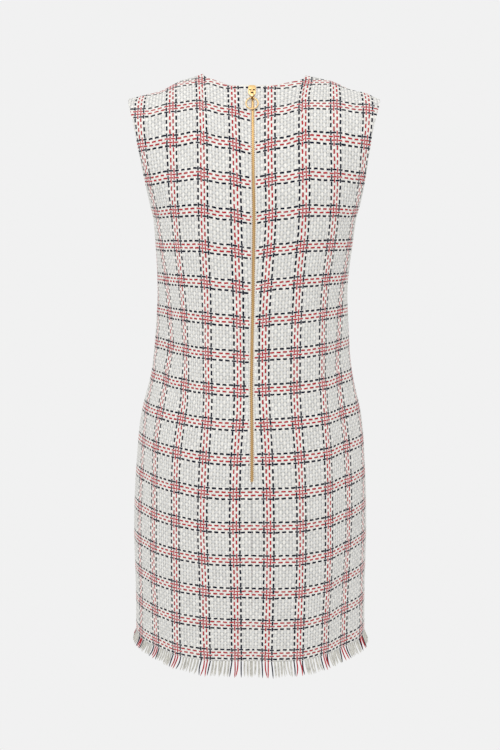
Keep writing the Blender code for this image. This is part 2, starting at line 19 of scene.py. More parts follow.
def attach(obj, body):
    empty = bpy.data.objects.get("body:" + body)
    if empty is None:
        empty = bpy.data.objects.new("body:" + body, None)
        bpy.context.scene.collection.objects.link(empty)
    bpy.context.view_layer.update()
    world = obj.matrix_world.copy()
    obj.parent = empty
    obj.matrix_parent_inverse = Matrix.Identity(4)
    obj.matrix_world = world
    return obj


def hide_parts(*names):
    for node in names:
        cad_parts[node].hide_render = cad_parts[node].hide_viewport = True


bl_info = {
    "name": "Tweed shift dress",
    "version": (1, 0, 0),
    "blender": (4, 5, 0),
    "location": "View3D > Sidebar > Dress",
    "description": "Dresses the shift dress in woven tweed with a metal zip and a fringe",
    "category": "Object",
}

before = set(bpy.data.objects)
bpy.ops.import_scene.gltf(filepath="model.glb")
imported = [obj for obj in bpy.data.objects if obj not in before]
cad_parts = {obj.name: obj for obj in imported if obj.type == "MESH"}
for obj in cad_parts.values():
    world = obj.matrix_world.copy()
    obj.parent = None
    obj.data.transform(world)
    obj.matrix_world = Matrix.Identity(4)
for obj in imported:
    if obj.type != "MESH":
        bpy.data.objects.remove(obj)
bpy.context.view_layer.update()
BODY = "dress"


# ---------------------------------------------------------------- sizes
def linear(code):
    """An sRGB hex colour as linear red, green, blue and alpha."""
    parts = [int(code[k : k + 2], 16) / 255 for k in (1, 3, 5)]
    curve = [c / 12.92 if c <= 0.04045 else ((c + 0.055) / 1.055) ** 2.4 for c in parts]
    return (*curve, 1.0)


WALL = 0.0024  # thickness of the tweed
GAP = 0.0003
HEM, UNDERARM = -0.872, -0.215
NECK_BACK_DEPTH, NECK_FRONT_DEPTH = 0.042, 0.094
NECK_HALF_WIDTH = 0.0735
BACK_CROWN, FRONT_CROWN = 0.041, 0.016
SHOULDER_REACH, SHOULDER_TIP = 0.0748, 0.1964
SHOULDER_SLOPE = math.tan(math.radians(18.5))
SWAY_ARM = 0.18
EDGE_STEP = 0.003

ZIP_END, ZIP_CLOSING, CHAIN_TAPER = -0.5945, 0.0015, 0.004
CHAIN_HALF_WIDTH, CHAIN_END_HALF_WIDTH = 0.0025, 0.0021
TAPE_THICKNESS, TAPE_GAP = 0.0008, 0.0004
SLIDER_HEIGHT = -0.0258
SLIDER_LENGTH, SLIDER_WIDTH, SLIDER_PLATE, SLIDER_DOWN = 0.0166, 0.0116, 0.0012, 0.0009
POST_HALF_WIDTH, POST_FOOT, POST_HEAD = 0.0019, 0.0019, 0.0064
BRIDGE_RADIUS, BRIDGE_WIRE, BRIDGE_PLACE = 0.00215, 0.00065, -0.0022
PIN_OVER_PLATE = 0.0014
TAB_LENGTH, TAB_HALF_WIDTH, TAB_THICKNESS = 0.0130, 0.0037, 0.0012
TAB_FOOT, TAB_BAR = 0.45, 0.0008
TAB_HEAD_HALF_WIDTH, TAB_SHOULDER = 0.0012, -0.0022
BARREL_RADIUS, BARREL_BORE, BARREL_HALF_LENGTH = 0.0021, 0.0015, 0.0013
RING_RADIUS, RING_WIRE, RING_LIFT = 0.0089, 0.0009, 0.0012
PLATE_CORNER, PLATE_RIM = (0.0034, 8), (0.0004, 3)  # width of a bevel and its steps
TAB_CORNER, TAB_RIM = (0.0012, 6), (0.0003, 2)
SHARP_TURN = 1.2  # radians between the faces of an edge that is bevelled
BRIDGE_UNDER_PIN = 0.0003
EYE_ACROSS, EYE_UP, EYE_DEPTH, EYE_SUNK = 0.0028, -0.0009, 0.0004, 0.00015
WINDOW_WIDTH, WINDOW_LENGTH, WINDOW_PLACE, WINDOW_PROUD = 0.0040, 0.0028, -0.0046, 0.0001
TOOTH_REACH = 1.7  # of half the zip's width
NIB_WIDTH, NIB_PROUD = 0.0015, 0.0002
CORD_STEPS, CORD_INNER, CORD_DEPTH, CORD_THICKNESS = 60, 0.0004, 0.0001, 0.0009
LINE_POINTS = 60
FRINGE_SIDES, FRINGE_STEPS = 4, 6
FRINGE_TUCK = 0.002  # how far a loose yarn's root reaches up behind the hem
PLY_SPACING, PLY_SHIFT = 0.26, 0.04  # in warps

CAMERA_PLACE = (0.003, 2.2, -0.0719)
CAMERA_PITCH = 10  # degrees down
CAMERA_LENS = 68.96
KEY_PLACE, FILL_PLACE, LAMP_SIZE = (0.0, 2.0, 2.4), (1.1, 1.6, 1.6), 1.5
LAMP_AIM = (0, 0, -0.3)
FLOOR_SIZE = 40.0

WARP_SPACING, WEFT_SPACING = 0.00485, 0.00505
REPEAT = 10  # yarns in a repeat of the check
HEM_WEFT = 2.7  # v at the cut edge of the hem
HEM_LEVEL = -0.0036  # cloth up from the hem's height to that weft, without its lift

SECTIONS = np.array((
    # height, half_width, back_depth, front_depth, back_power, front_power
    (-0.900, 0.1830, 0.148, 0.106, 1.90, 2.20),
    (-0.800, 0.1820, 0.150, 0.106, 1.92, 2.20),
    (-0.700, 0.1832, 0.150, 0.105, 1.94, 2.20),
    (-0.600, 0.1790, 0.146, 0.102, 1.94, 2.20),
    (-0.520, 0.1712, 0.135, 0.096, 1.92, 2.20),
    (-0.450, 0.1550, 0.122, 0.089, 1.92, 2.20),
    (-0.385, 0.1486, 0.116, 0.085, 1.95, 2.30),
    (-0.320, 0.1457, 0.113, 0.092, 2.10, 2.40),
    (-0.260, 0.1497, 0.111, 0.108, 2.25, 2.50),
    (-0.215, 0.1540, 0.109, 0.114, 2.40, 2.50),
))
HALF_WIDTH, BACK_DEPTH, FRONT_DEPTH, BACK_POWER, FRONT_POWER = range(1, 6)

SWAY = np.array((
    # height, sway
    (-0.900, 0.0025),
    (-0.650, 0.0025),
    (-0.520, 0.0015),
    (-0.385, -0.0005),
    (-0.320, -0.0015),
    (-0.260, -0.0045),
    (-0.200, -0.0060),
    (-0.100, -0.0030),
    (0.000, -0.0030),
))

BACK_YOKE = np.array((
    # across, low_length, low_side, low_out, high_side, high_out, high_up
    (0.000, 0.083, 0.000, 0.001, 0.000, 0.0680, -0.0450),
    (0.030, 0.082, 0.000, 0.002, 0.000, 0.0660, -0.0400),
    (0.060, 0.080, 0.000, 0.003, 0.000, 0.0625, -0.0330),
    (0.080, 0.080, 0.000, 0.005, 0.001, 0.0580, -0.0310),
    (0.120, 0.080, 0.002, 0.008, 0.002, 0.0540, -0.0310),
    (0.165, 0.072, 0.010, 0.020, 0.008, 0.0560, -0.0500),
    (0.215, 0.070, 0.011, 0.014, 0.012, 0.0520, -0.0600),
))
FRONT_YOKE = np.array((
    (0.000, 0.077, 0.000, -0.006, 0.000, 0.0840, -0.0120),
    (0.030, 0.077, 0.000, -0.006, 0.000, 0.0820, -0.0140),
    (0.060, 0.077, 0.000, -0.006, 0.000, 0.0740, -0.0220),
    (0.080, 0.078, 0.000, -0.006, 0.001, 0.0660, -0.0290),
    (0.120, 0.078, 0.004, -0.008, 0.003, 0.0540, -0.0340),
    (0.165, 0.072, 0.014, -0.012, 0.006, 0.0480, -0.0500),
    (0.215, 0.070, 0.016, -0.008, 0.008, 0.0460, -0.0600),
))

ARMHOLE = np.array((
    # up the yoke, on the back, on the front
    (0.06, 0.2010, 0.1950),
    (0.14, 0.1900, 0.1800),
    (0.25, 0.1848, 0.1710),
    (0.40, 0.1815, 0.1670),
    (0.60, 0.1828, 0.1700),
    (0.80, 0.1892, 0.1810),
    (0.90, 0.1935, 0.1890),
    (1.00, SHOULDER_TIP, SHOULDER_TIP),
))

# The centre back bows a little to one side and the other, as worn.
BOW = np.array((
    # height, moved to the wearer's left
    (-0.930, 0.0000),
    (-0.590, 0.0002),
    (-0.529, 0.0002),
    (-0.460, 0.0008),
    (-0.393, 0.0000),
    (-0.333, -0.0012),
    (-0.274, -0.0019),
    (-0.209, -0.0026),
    (-0.144, -0.0017),
    (-0.058, -0.0010),
    (0.000, -0.0009),
))
BOW_REACH = 0.075  # from the centre, across

# The shoulders and the neckline settle unevenly on their two sides, fading below them.
SETTLED = np.array((
    # across, out and up on the wearer's left, out and up on the right
    (0.010, 0.0000, -0.0004, 0.0000, -0.0006),
    (0.022, 0.0000, -0.0023, 0.0000, -0.0025),
    (0.036, 0.0000, -0.0040, 0.0000, -0.0038),
    (0.050, 0.0000, -0.0026, 0.0020, -0.0044),
    (0.062, 0.0000, -0.0012, 0.0045, -0.0040),
    (0.0735, 0.0000, -0.0010, 0.0062, -0.0036),
    (0.092, 0.0000, -0.0008, 0.0040, -0.0004),
    (0.108, 0.0000, 0.0000, 0.0020, 0.0014),
    (0.120, 0.0000, -0.0015, 0.0000, 0.0030),
    (0.129, 0.0000, -0.0034, 0.0000, 0.0020),
    (0.138, 0.0000, -0.0048, 0.0000, 0.0006),
    (0.152, 0.0000, -0.0034, 0.0000, 0.0004),
    (0.166, 0.0000, -0.0020, 0.0000, 0.0022),
    (0.185, 0.0000, 0.0000, 0.0000, 0.0000),
))
SETTLED_REACH = 0.060

# The red lines of the check run down the back at these places across, on the wearer's
# left and right. They close in at the waist, where the cloth is taken in.
LEFT_LINES = np.array((
    # height, then the places of warps 5, 15, 25, 35 and 45
    (-0.930, 0.0230, 0.0700, 0.1205, 0.1625, 0.2110),
    (-0.830, 0.0235, 0.0715, 0.1225, 0.1665, 0.2105),
    (-0.760, 0.0240, 0.0720, 0.1220, 0.1705, 0.2100),
    (-0.660, 0.0255, 0.0750, 0.1215, 0.1690, 0.2100),
    (-0.565, 0.0240, 0.0715, 0.1190, 0.1655, 0.2050),
    (-0.475, 0.0185, 0.0675, 0.1060, 0.1495, 0.1935),
    (-0.415, 0.0190, 0.0690, 0.1060, 0.1370, 0.1825),
    (-0.340, 0.0210, 0.0690, 0.1100, 0.1400, 0.1850),
    (-0.235, 0.0245, 0.0725, 0.1190, 0.1625, 0.2060),
    (-0.100, 0.0265, 0.0740, 0.1210, 0.1720, 0.2200),
    (0.000, 0.0290, 0.0800, 0.1255, 0.1735, 0.2260),
))
RIGHT_LINES = np.array((
    (-0.930, 0.0215, 0.0715, 0.1185, 0.1560, 0.2180),
    (-0.830, 0.0230, 0.0735, 0.1205, 0.1580, 0.2190),
    (-0.760, 0.0245, 0.0760, 0.1240, 0.1610, 0.2190),
    (-0.660, 0.0250, 0.0765, 0.1250, 0.1650, 0.2170),
    (-0.565, 0.0230, 0.0730, 0.1225, 0.1615, 0.2150),
    (-0.475, 0.0190, 0.0660, 0.1160, 0.1490, 0.2020),
    (-0.415, 0.0180, 0.0660, 0.1140, 0.1470, 0.2000),
    (-0.340, 0.0180, 0.0680, 0.1150, 0.1530, 0.2090),
    (-0.285, 0.0210, 0.0705, 0.1180, 0.1640, 0.2180),
    (-0.235, 0.0240, 0.0745, 0.1230, 0.1700, 0.2230),
    (-0.100, 0.0250, 0.0760, 0.1230, 0.1710, 0.2230),
    (0.000, 0.0260, 0.0785, 0.1260, 0.1745, 0.2280),
))
LINE_WARPS = (-5, 5, 15, 25, 35, 45, 55, 65)

# A weft yarn lies this far over the height that an even cloth would give it.
LEFT_LIFTS = np.array((
    # level, then the lift at 0, 40, 80, 120, 160 and 200 mm across
    (0.000, 0.0060, 0.0040, 0.0010, 0.0005, 0.0040, 0.0040),
    (0.060, 0.0020, 0.0010, 0.0000, -0.0010, 0.0005, 0.0020),
    (0.210, 0.0000, -0.0015, -0.0015, 0.0000, 0.0010, 0.0040),
    (0.360, 0.0000, 0.0000, 0.0015, 0.0040, 0.0060, 0.0070),
    (0.465, -0.0010, 0.0015, 0.0030, 0.0055, 0.0085, 0.0065),
    (0.565, -0.0005, 0.0040, 0.0075, 0.0075, 0.0070, 0.0045),
    (0.690, 0.0000, 0.0065, 0.0120, 0.0090, 0.0055, 0.0055),
    (0.765, 0.0015, 0.0095, 0.0165, 0.0110, 0.0065, 0.0050),
    (0.815, 0.0020, 0.0115, 0.0220, 0.0150, 0.0075, 0.0065),
    (0.870, 0.0065, 0.0105, 0.0215, 0.0160, 0.0070, 0.0065),
))
RIGHT_LIFTS = np.array((
    (0.000, 0.0060, 0.0030, 0.0000, 0.0020, 0.0060, 0.0040),
    (0.060, 0.0015, -0.0010, -0.0035, -0.0010, 0.0055, 0.0045),
    (0.210, 0.0000, -0.0015, -0.0030, -0.0020, 0.0030, 0.0050),
    (0.360, 0.0010, 0.0010, 0.0015, 0.0025, 0.0070, 0.0070),
    (0.465, 0.0010, 0.0030, 0.0040, 0.0055, 0.0080, 0.0075),
    (0.565, 0.0010, 0.0055, 0.0080, 0.0085, 0.0075, 0.0050),
    (0.690, 0.0010, 0.0065, 0.0115, 0.0100, 0.0075, 0.0065),
    (0.765, 0.0030, 0.0090, 0.0165, 0.0135, 0.0100, 0.0085),
    (0.815, 0.0035, 0.0115, 0.0220, 0.0195, 0.0140, 0.0110),
    (0.870, 0.0065, 0.0100, 0.0205, 0.0200, 0.0145, 0.0110),
))
LIFT_STEP, LIFT_REACH = 0.04, 0.20  # from one column to the next, and to the last


# ---------------------------------------------------------------- the worn form
def smooth(table, column, place):
    """A table's column at any place, on a smooth curve through the table's rows."""
    places, values = table[:, 0], table[:, column]
    slopes = np.gradient(values, places)
    place = np.clip(place, places[0], places[-1])
    row = np.clip(np.searchsorted(places, place, side="right") - 1, 0, len(places) - 2)
    step = places[row + 1] - places[row]
    t = (place - places[row]) / step
    start = (1 + 2 * t) * (1 - t) ** 2 * values[row] + t * (1 - t) ** 2 * step * slopes[row]
    end = t * t * (3 - 2 * t) * values[row + 1] - t * t * (1 - t) * step * slopes[row + 1]
    return start + end


def section(height, back):
    """A quarter of the section, from the centre to the side, and the cloth along it."""
    turn = np.linspace(0, math.pi / 2, 400)
    depth = smooth(SECTIONS, BACK_DEPTH if back else FRONT_DEPTH, height)
    power = smooth(SECTIONS, BACK_POWER if back else FRONT_POWER, height)
    x = smooth(SECTIONS, HALF_WIDTH, height) * np.sin(turn) ** (2 / power)
    y = depth * np.abs(np.cos(turn)) ** (2 / power)
    points = np.stack([x, y if back else -y, np.full(len(turn), height)], axis=1)
    steps = np.linalg.norm(np.diff(points, axis=0), axis=1)
    return points, np.concatenate([[0.0], np.cumsum(steps)])


def lower_points(height, across, back):
    """Points of a section under the arms, at places across the cloth."""
    points, cloth = section(height, back)
    return np.stack([np.interp(across, cloth, points[:, k]) for k in range(3)], axis=1)


def top_points(across, back):
    """The shoulder seam, and the crown line that the yoke would reach over the neck."""
    inner = np.clip(across / SHOULDER_REACH, 0, 1)
    outer = np.maximum(across - SHOULDER_REACH, 0) / math.hypot(1, SHOULDER_SLOPE)
    crown = (BACK_CROWN if back else FRONT_CROWN) * (1 - inner**2)
    x = NECK_HALF_WIDTH * inner + outer
    return np.stack([x, np.zeros(len(x)), crown - SHOULDER_SLOPE * outer], axis=1)


def yoke_curves(across, back):
    """The four control points of the curve up the yoke at each place across."""
    table, facing = (BACK_YOKE, 1) if back else (FRONT_YOKE, -1)
    length, side, out, *high = (smooth(table, k, across) for k in range(1, 7))
    bottom, top = lower_points(UNDERARM, across, back), top_points(across, back)
    along = bottom - lower_points(UNDERARM - EDGE_STEP, across, back)
    along /= np.linalg.norm(along, axis=1)[:, None]
    low = bottom + along * length[:, None] + np.stack([side, facing * out, 0 * out], axis=1)
    high = np.stack([top[:, 0] + high[0], facing * high[1], high[2]], axis=1)
    return bottom, low, high, top


def on_curves(curves, share):
    bottom, low, high, top = curves
    return (
        (1 - share) ** 3 * bottom
        + 3 * share * (1 - share) ** 2 * low
        + 3 * share**2 * (1 - share) * high
        + share**3 * top
    )


def neck_shares(curves, across, back):
    """The share of each yoke curve where the neckline or the shoulder seam cuts it."""
    shares = np.linspace(0.5, 1, 120)
    out = np.array([np.abs(on_curves(curves, share)[:, 1]) for share in shares])
    inner = np.clip(across / SHOULDER_REACH, 0, 1)
    neck = (NECK_BACK_DEPTH if back else NECK_FRONT_DEPTH) * np.sqrt(1 - inner**2)
    return np.array([np.interp(-neck[k], -out[:, k], shares) for k in range(len(across))])


def yoke_points(up, across, back):
    curves = yoke_curves(across, back)
    return on_curves(curves, up * neck_shares(curves, across, back)[:, None])


def armhole_edge(up, back):
    """The place across of the armhole's edge, up the yoke from the underarm."""
    seam = section(UNDERARM, back)[1][-1]
    ups = np.concatenate([[0.0], ARMHOLE[:, 0]])
    return np.interp(up, ups, np.concatenate([[seam], ARMHOLE[:, 1 if back else 2]]))


def placed(points, side, back=False):
    """Puts a half on the wearer's left (side 1) or right (side -1), as it hangs."""
    x, z = points[..., 0], points[..., 2]
    sway = smooth(SWAY, 1, z) * (x / SWAY_ARM) ** 2
    if back:
        sway = sway + smooth(BOW, 1, z) * (1 - ease_in(x / BOW_REACH))
    out, up = settled(points, side, back)
    return np.stack([side * (x + out) + sway, points[..., 1], z + up], axis=-1)


def settled(points, side, back):
    """How far a half moves out and up where its shoulder and its neckline settle."""
    x = points[..., 0]
    below = np.linalg.norm(points - points[-1:], axis=-1)
    near = ease_in(1 - below / SETTLED_REACH)
    if not back:
        # the front's neckline follows only its corners
        near = near * ease_in(x / NECK_HALF_WIDTH)
        x = np.maximum(x, NECK_HALF_WIDTH)
    columns = (1, 2) if side > 0 else (3, 4)
    return [near * smooth(SETTLED, column, x) for column in columns]


def zip_half_width(height):
    """From the centre to the cloth's edge beside the zip, closing under its end."""
    heights = (ZIP_END - ZIP_CLOSING, ZIP_END, ZIP_END + CHAIN_TAPER)
    halves = (GAP / 2, CHAIN_END_HALF_WIDTH + GAP, CHAIN_HALF_WIDTH + GAP)
    return np.interp(height, heights, halves)


# ---------------------------------------------------------------- the cloth in threads
LEVEL_ROWS, YOKE_LEVELS, YOKE_PLACES = 150, 60, 44
UNDER_HEM = 0.012  # the rows start this far under the hem
NECK_TURN_BLUR, ZIP_TURN_BLUR = 0.0012, 0.0006


def ease_in(t):
    """A smooth step from 0 to 1."""
    t = np.clip(t, 0, 1)
    return t * t * (3 - 2 * t)


def warp_lines(height, side):
    """Where the numbered warps of a back piece lie across it at a height."""
    table = LEFT_LINES if side > 0 else RIGHT_LINES
    lines = [smooth(table, k, height) for k in range(1, 6)]
    step = REPEAT * WARP_SPACING
    return [lines[0] - step, *lines, lines[-1] + step, lines[-1] + 2 * step]


def warp_count(across, height, side, back):
    """u at a place across the worn form."""
    if not back:
        return across / WARP_SPACING
    return np.interp(across, warp_lines(height, side), LINE_WARPS)


def warp_place(count, height, side, back):
    """The place across the worn form of a warp line."""
    if not back:
        return count * WARP_SPACING
    return np.interp(count, LINE_WARPS, warp_lines(height, side))


def centre_levels(heights):
    """Cloth up the centre back from the hem's height."""
    middle = np.array([0.0])
    line = np.array([lower_points(z, middle, True)[0] for z in heights])
    steps = np.linalg.norm(np.diff(line, axis=0), axis=1)
    levels = np.concatenate([[0.0], np.cumsum(steps)])
    return levels - np.interp(HEM, heights, levels)


def lift(level, across, side, back):
    """How far a weft yarn lies over its even level at a place across."""
    table = LEFT_LIFTS if side > 0 else RIGHT_LIFTS
    columns = np.array([smooth(table, k, level) for k in range(1, 7)])
    if not back:
        return columns[-1] * ease_in(across / LIFT_REACH)
    slot = np.clip(across / LIFT_STEP, 0, 4.999)
    low = slot.astype(int)
    t = slot - low
    before, after = (np.choose(low + k, columns) for k in (0, 1))
    return before + (after - before) * ease_in(t)


def dense_half(side, back, inner_edge, fixed, fans):
    """Dense rows up a half panel. Gives points, u and v for each row and column.
    fixed holds the warp lines that columns follow, and fans how many columns lie
    between them and the inner and outer edges."""
    heights = np.linspace(HEM - UNDER_HEM, UNDERARM, LEVEL_ROWS)
    levels = centre_levels(heights)
    shares = np.linspace(0, 1, YOKE_LEVELS + 1)[1:]
    yoke = np.linspace(0, BACK_YOKE[-1, 0], YOKE_PLACES)
    curves = yoke_curves(yoke, back)
    necks = neck_shares(curves, yoke, back)[:, None]
    warps = np.array([on_curves(curves, up * necks) for up in np.concatenate([[0.0], shares])])
    climbs = np.linalg.norm(np.diff(warps, axis=0), axis=2).cumsum(axis=0)
    points, counts, wefts = [], [], []

    def add(row, place, height, level):
        points.append(row)
        counts.append(warp_count(place, height, side, back))
        even = level - lift(level, place, side, back)
        wefts.append(HEM_WEFT + (even - HEM_LEVEL) / WEFT_SPACING)

    for height, level in zip(heights, levels):
        edge = section(height, back)[1][-1] - GAP / 2
        place = spread(height, side, back, inner_edge(height), edge, fixed, fans)
        add(lower_points(height, place, back), place, height, np.full(len(place), level))
    for k, up in enumerate(shares):
        height = UNDERARM * (1 - up)
        place = spread(height, side, back, inner_edge(0.0), armhole_edge(up, back), fixed, fans)
        level = levels[-1] + np.interp(place, yoke, climbs[k])
        add(yoke_points(up, place, back), place, height, level)
    return np.array(points), np.array(counts), np.array(wefts)


def spread(height, side, back, inner, outer, fixed, fans):
    """Places across of all columns of a row."""
    lines = warp_place(fixed, height, side, back)
    near, far = fans
    left = np.linspace(inner, lines[0], near + 1)[:-1]
    right = np.linspace(lines[-1], outer, far + 1)[1:]
    return np.concatenate([left, lines, right])


def woven_rows(dense, rows_per_yarn):
    """Rows that follow the weft yarns, cut from the dense ones, with narrower ones left
    over at the top edge. Gives points and u, v."""
    points, counts, wefts = dense
    tops = wefts[-1]
    last = math.floor(tops.min()) - 2
    even = np.arange(HEM_WEFT, last, 1 / rows_per_yarn)
    extra = int((tops.max() - last) * rows_per_yarn) + 1
    climb = np.linspace(0, 1, extra + 1)
    count = len(tops)
    out = np.empty((len(even) + extra + 1, count, 3))
    map_ = np.empty((len(even) + extra + 1, count, 2))
    order = np.arange(len(wefts))
    for k in range(count):
        wanted = np.concatenate([even, last + (tops[k] - last) * climb])
        at = np.interp(wanted, wefts[:, k], order)
        out[:, k] = np.stack([np.interp(at, order, points[:, k, n]) for n in range(3)], axis=1)
        map_[:, k, 0] = np.interp(at, order, counts[:, k])
        map_[:, k, 1] = wanted
    return out, map_


def surface_normals(points, facing):
    """The way out of the cloth at each point. facing is 1 at the back, -1 at the front."""
    across = np.gradient(points, axis=1)
    up = np.gradient(points, axis=0)
    normals = np.cross(across, up)
    normals /= np.linalg.norm(normals, axis=2)[..., None]
    if (normals[..., 1].mean() > 0) != (facing > 0):
        normals = -normals
    return normals


def relief(u, v):
    """Height of the weave over the cloth's middle, from -1 in the pits to 1 on a float."""
    warp_rise = np.abs(np.sin(math.pi * u))
    weft_rise = np.abs(np.sin(math.pi * v))
    return warp_rise + weft_rise - 1


def edge_fade(rows, columns, narrow):
    """1 inside a panel and 0 on its rim, over the given number of rows and columns."""
    r = np.minimum(np.arange(rows), np.arange(rows)[::-1])[:, None]
    c = np.minimum(np.arange(columns), np.arange(columns)[::-1])[None, :]
    return ease_in(np.minimum(r, c) / narrow)


# ---------------------------------------------------------------- soft creases
# Ridges (+) and troughs (-) of the worn cloth. Each runs over the panel from its middle,
# fading towards its ends. Places across are signed: + is the wearer's left.
BACK_CREASES = (
    # across, level, turn from upright in degrees, half length, half width, height
    (0.115, 0.470, 38, 0.050, 0.012, -0.0016),
    (0.128, 0.430, 52, 0.060, 0.011, 0.0018),
    (0.105, 0.395, 60, 0.045, 0.010, -0.0012),
    (-0.120, 0.480, -40, 0.055, 0.013, 0.0014),
    (-0.135, 0.440, -55, 0.050, 0.010, -0.0016),
    (-0.110, 0.405, -62, 0.040, 0.011, 0.0010),
    (0.022, 0.470, 12, 0.070, 0.012, -0.0014),
    (-0.024, 0.455, -10, 0.080, 0.011, -0.0012),
    (0.060, 0.200, 3, 0.170, 0.022, 0.0020),
    (-0.085, 0.170, -4, 0.150, 0.020, -0.0020),
    (0.150, 0.230, 8, 0.160, 0.024, -0.0024),
    (-0.160, 0.260, -9, 0.150, 0.022, 0.0022),
    (0.120, 0.700, 30, 0.050, 0.014, 0.0014),
    (-0.125, 0.690, -28, 0.055, 0.013, -0.0012),
)
FRONT_CREASES = (
    (0.100, 0.640, 62, 0.060, 0.013, 0.0018),
    (-0.105, 0.630, -60, 0.055, 0.012, -0.0014),
    (0.120, 0.450, 48, 0.050, 0.012, -0.0016),
    (-0.115, 0.460, -50, 0.055, 0.013, 0.0016),
    (0.070, 0.210, 4, 0.160, 0.022, 0.0022),
    (-0.060, 0.190, -3, 0.170, 0.024, -0.0020),
    (0.150, 0.250, -7, 0.150, 0.022, -0.0020),
    (-0.155, 0.230, 8, 0.140, 0.020, 0.0020),
    (0.020, 0.160, 2, 0.120, 0.020, -0.0014),
)


def creased(across, level, creases):
    """Height of all creases at places across and up a panel."""
    height = np.zeros_like(across)
    for place, rise, turn, half_length, half_width, depth in creases:
        lean = math.radians(turn)
        x, y = across - place, level - rise
        along = x * math.sin(lean) + y * math.cos(lean)
        aside = x * math.cos(lean) - y * math.sin(lean)
        bend = aside - 0.15 * along * along / half_length
        height += depth * np.exp(-((bend / half_width) ** 2) - (along / half_length) ** 2)
    return height


# ---------------------------------------------------------------- Blender helpers
def add_node(tree, kind, inputs=(), **settings):
    """Adds a node with its settings. inputs pairs a socket with a value or an output."""
    node = tree.nodes.new(kind)
    for name, value in settings.items():
        setattr(node, name, value)
    for socket, value in dict(inputs).items():
        if isinstance(value, bpy.types.NodeSocket):
            tree.links.new(value, node.inputs[socket])
        else:
            node.inputs[socket].default_value = value
    return node


def new_material(name):
    """An empty material with its shader. Gives the material, its tree and the shader."""
    made = bpy.data.materials.new(name)
    made.use_nodes = True
    return made, made.node_tree, made.node_tree.nodes["Principled BSDF"]


def link_object(mesh, name, finish):
    mesh.materials.append(finish)
    obj = bpy.data.objects.new(name, mesh)
    bpy.context.scene.collection.objects.link(obj)
    return obj


def grid(bm, points):
    """Adds a grid of faces on rows of points, and gives its vertices in their order."""
    rows, columns = points.shape[:2]
    made = bmesh.ops.create_grid(bm, x_segments=columns - 1, y_segments=rows - 1, size=0.5)
    for vertex in made["verts"]:
        column = round((vertex.co.x + 0.5) * (columns - 1))
        row = round((vertex.co.y + 0.5) * (rows - 1))
        vertex.co = points[row, column]
    return made["verts"]


def tinted(tree, shader, tint, shade):
    """Gives a shader a colour that varies in lightness."""
    value = add_node(tree, "ShaderNodeHueSaturation", {"Color": tint, "Value": shade})
    tree.links.new(value.outputs[0], shader.inputs["Base Color"])


def surfaced(tree, shader, height, strength, distance, values):
    """Gives a shader its fine relief and its plain values."""
    inputs = {"Height": height, "Strength": strength, "Distance": distance}
    bump = add_node(tree, "ShaderNodeBump", inputs)
    tree.links.new(bump.outputs[0], shader.inputs["Normal"])
    for socket, value in values.items():
        shader.inputs[socket].default_value = value


# ---------------------------------------------------------------- finishes
WOOLLY = {"Roughness": 0.95, "Specular IOR Level": 0.15, "Sheen Weight": 0.15}


class Calc:
    """Short ways to add the sums that a finish is worked out with."""

    def __init__(self, tree):
        self.tree = tree

    def __call__(self, operation, *values):
        inputs = dict(enumerate(values))
        return add_node(self.tree, "ShaderNodeMath", inputs, operation=operation).outputs[0]

    def times_plus(self, value, factor, plus):
        return self("MULTIPLY_ADD", value, factor, plus)

    def noise(self, place, scale, detail=2.0, dimensions="3D"):
        inputs = {"Vector": place, "Scale": scale, "Detail": detail}
        made = add_node(self.tree, "ShaderNodeTexNoise", inputs, noise_dimensions=dimensions)
        return made.outputs[0]

    def mixed(self, share, first, second):
        inputs = {0: share, 6: first, 7: second}
        return add_node(self.tree, "ShaderNodeMix", inputs, data_type="RGBA").outputs[2]

    def point(self, x, y, z=0.0):
        return add_node(self.tree, "ShaderNodeCombineXYZ", {0: x, 1: y, 2: z}).outputs[0]


def place_in_repeat(calc, count):
    """How far a yarn is from the middle of the check's lines, and whether it is coloured."""
    repeat = calc("FLOORED_MODULO", count, REPEAT)
    off = calc("ABSOLUTE", calc("SUBTRACT", repeat, REPEAT / 2))
    return off, calc("LESS_THAN", off, 2.0)


def one_yarn_set(calc, cloth, count, crossed, cream, off, coloured, crossing_coloured):
    """One set of yarns, numbered by count and crossed by the other set. Gives the yarn's
    number, its colour, and whether it shows and its round height in its width."""
    number = calc("FLOOR", count)
    ramp = add_node(calc.tree, "ShaderNodeValToRGB", {0: calc("DIVIDE", off, REPEAT / 2)})
    ramp.color_ramp.interpolation = "CONSTANT"
    red, navy = ramp.color_ramp.elements
    red.color, navy.color, navy.position = cloth.red, cloth.navy, 1 / (REPEAT / 2)
    ramp.color_ramp.elements.new(2 / (REPEAT / 2)).color = cream
    slub = calc.noise(calc.point(calc("MULTIPLY", number, 3.7), crossed), 0.4, 1.0, "2D")
    more = cloth.navy_width - cloth.red_width
    thicker = calc("MULTIPLY", calc("GREATER_THAN", off, 1.0), more)
    own = calc("ADD", thicker, cloth.red_width - cloth.soft_width)
    width = calc.times_plus(coloured, own, cloth.soft_width)
    # two hard yarns draw each other thin where they cross
    both = calc("MULTIPLY", coloured, crossing_coloured)
    width = calc("MULTIPLY", width, calc.times_plus(both, -cloth.thinning, 1.0))
    width = calc("MULTIPLY", width, calc.times_plus(slub, 0.4, 0.8))
    # each yarn wanders a little to its sides
    drift = calc.noise(calc.point(calc("MULTIPLY", number, 5.3), crossed), 0.7, 1.0, "2D")
    middle = calc.times_plus(drift, 0.24, 0.38)
    aside = calc("SUBTRACT", calc("FRACT", count), middle)
    aside = calc("DIVIDE", aside, calc("MULTIPLY", width, 0.5))
    crown = calc("SUBTRACT", 1.0, calc("MULTIPLY", aside, aside))
    inside = calc("GREATER_THAN", crown, 0.0)
    crown = calc("SQRT", calc("MAXIMUM", crown, 0.0))
    return number, ramp.outputs[0], inside, crown


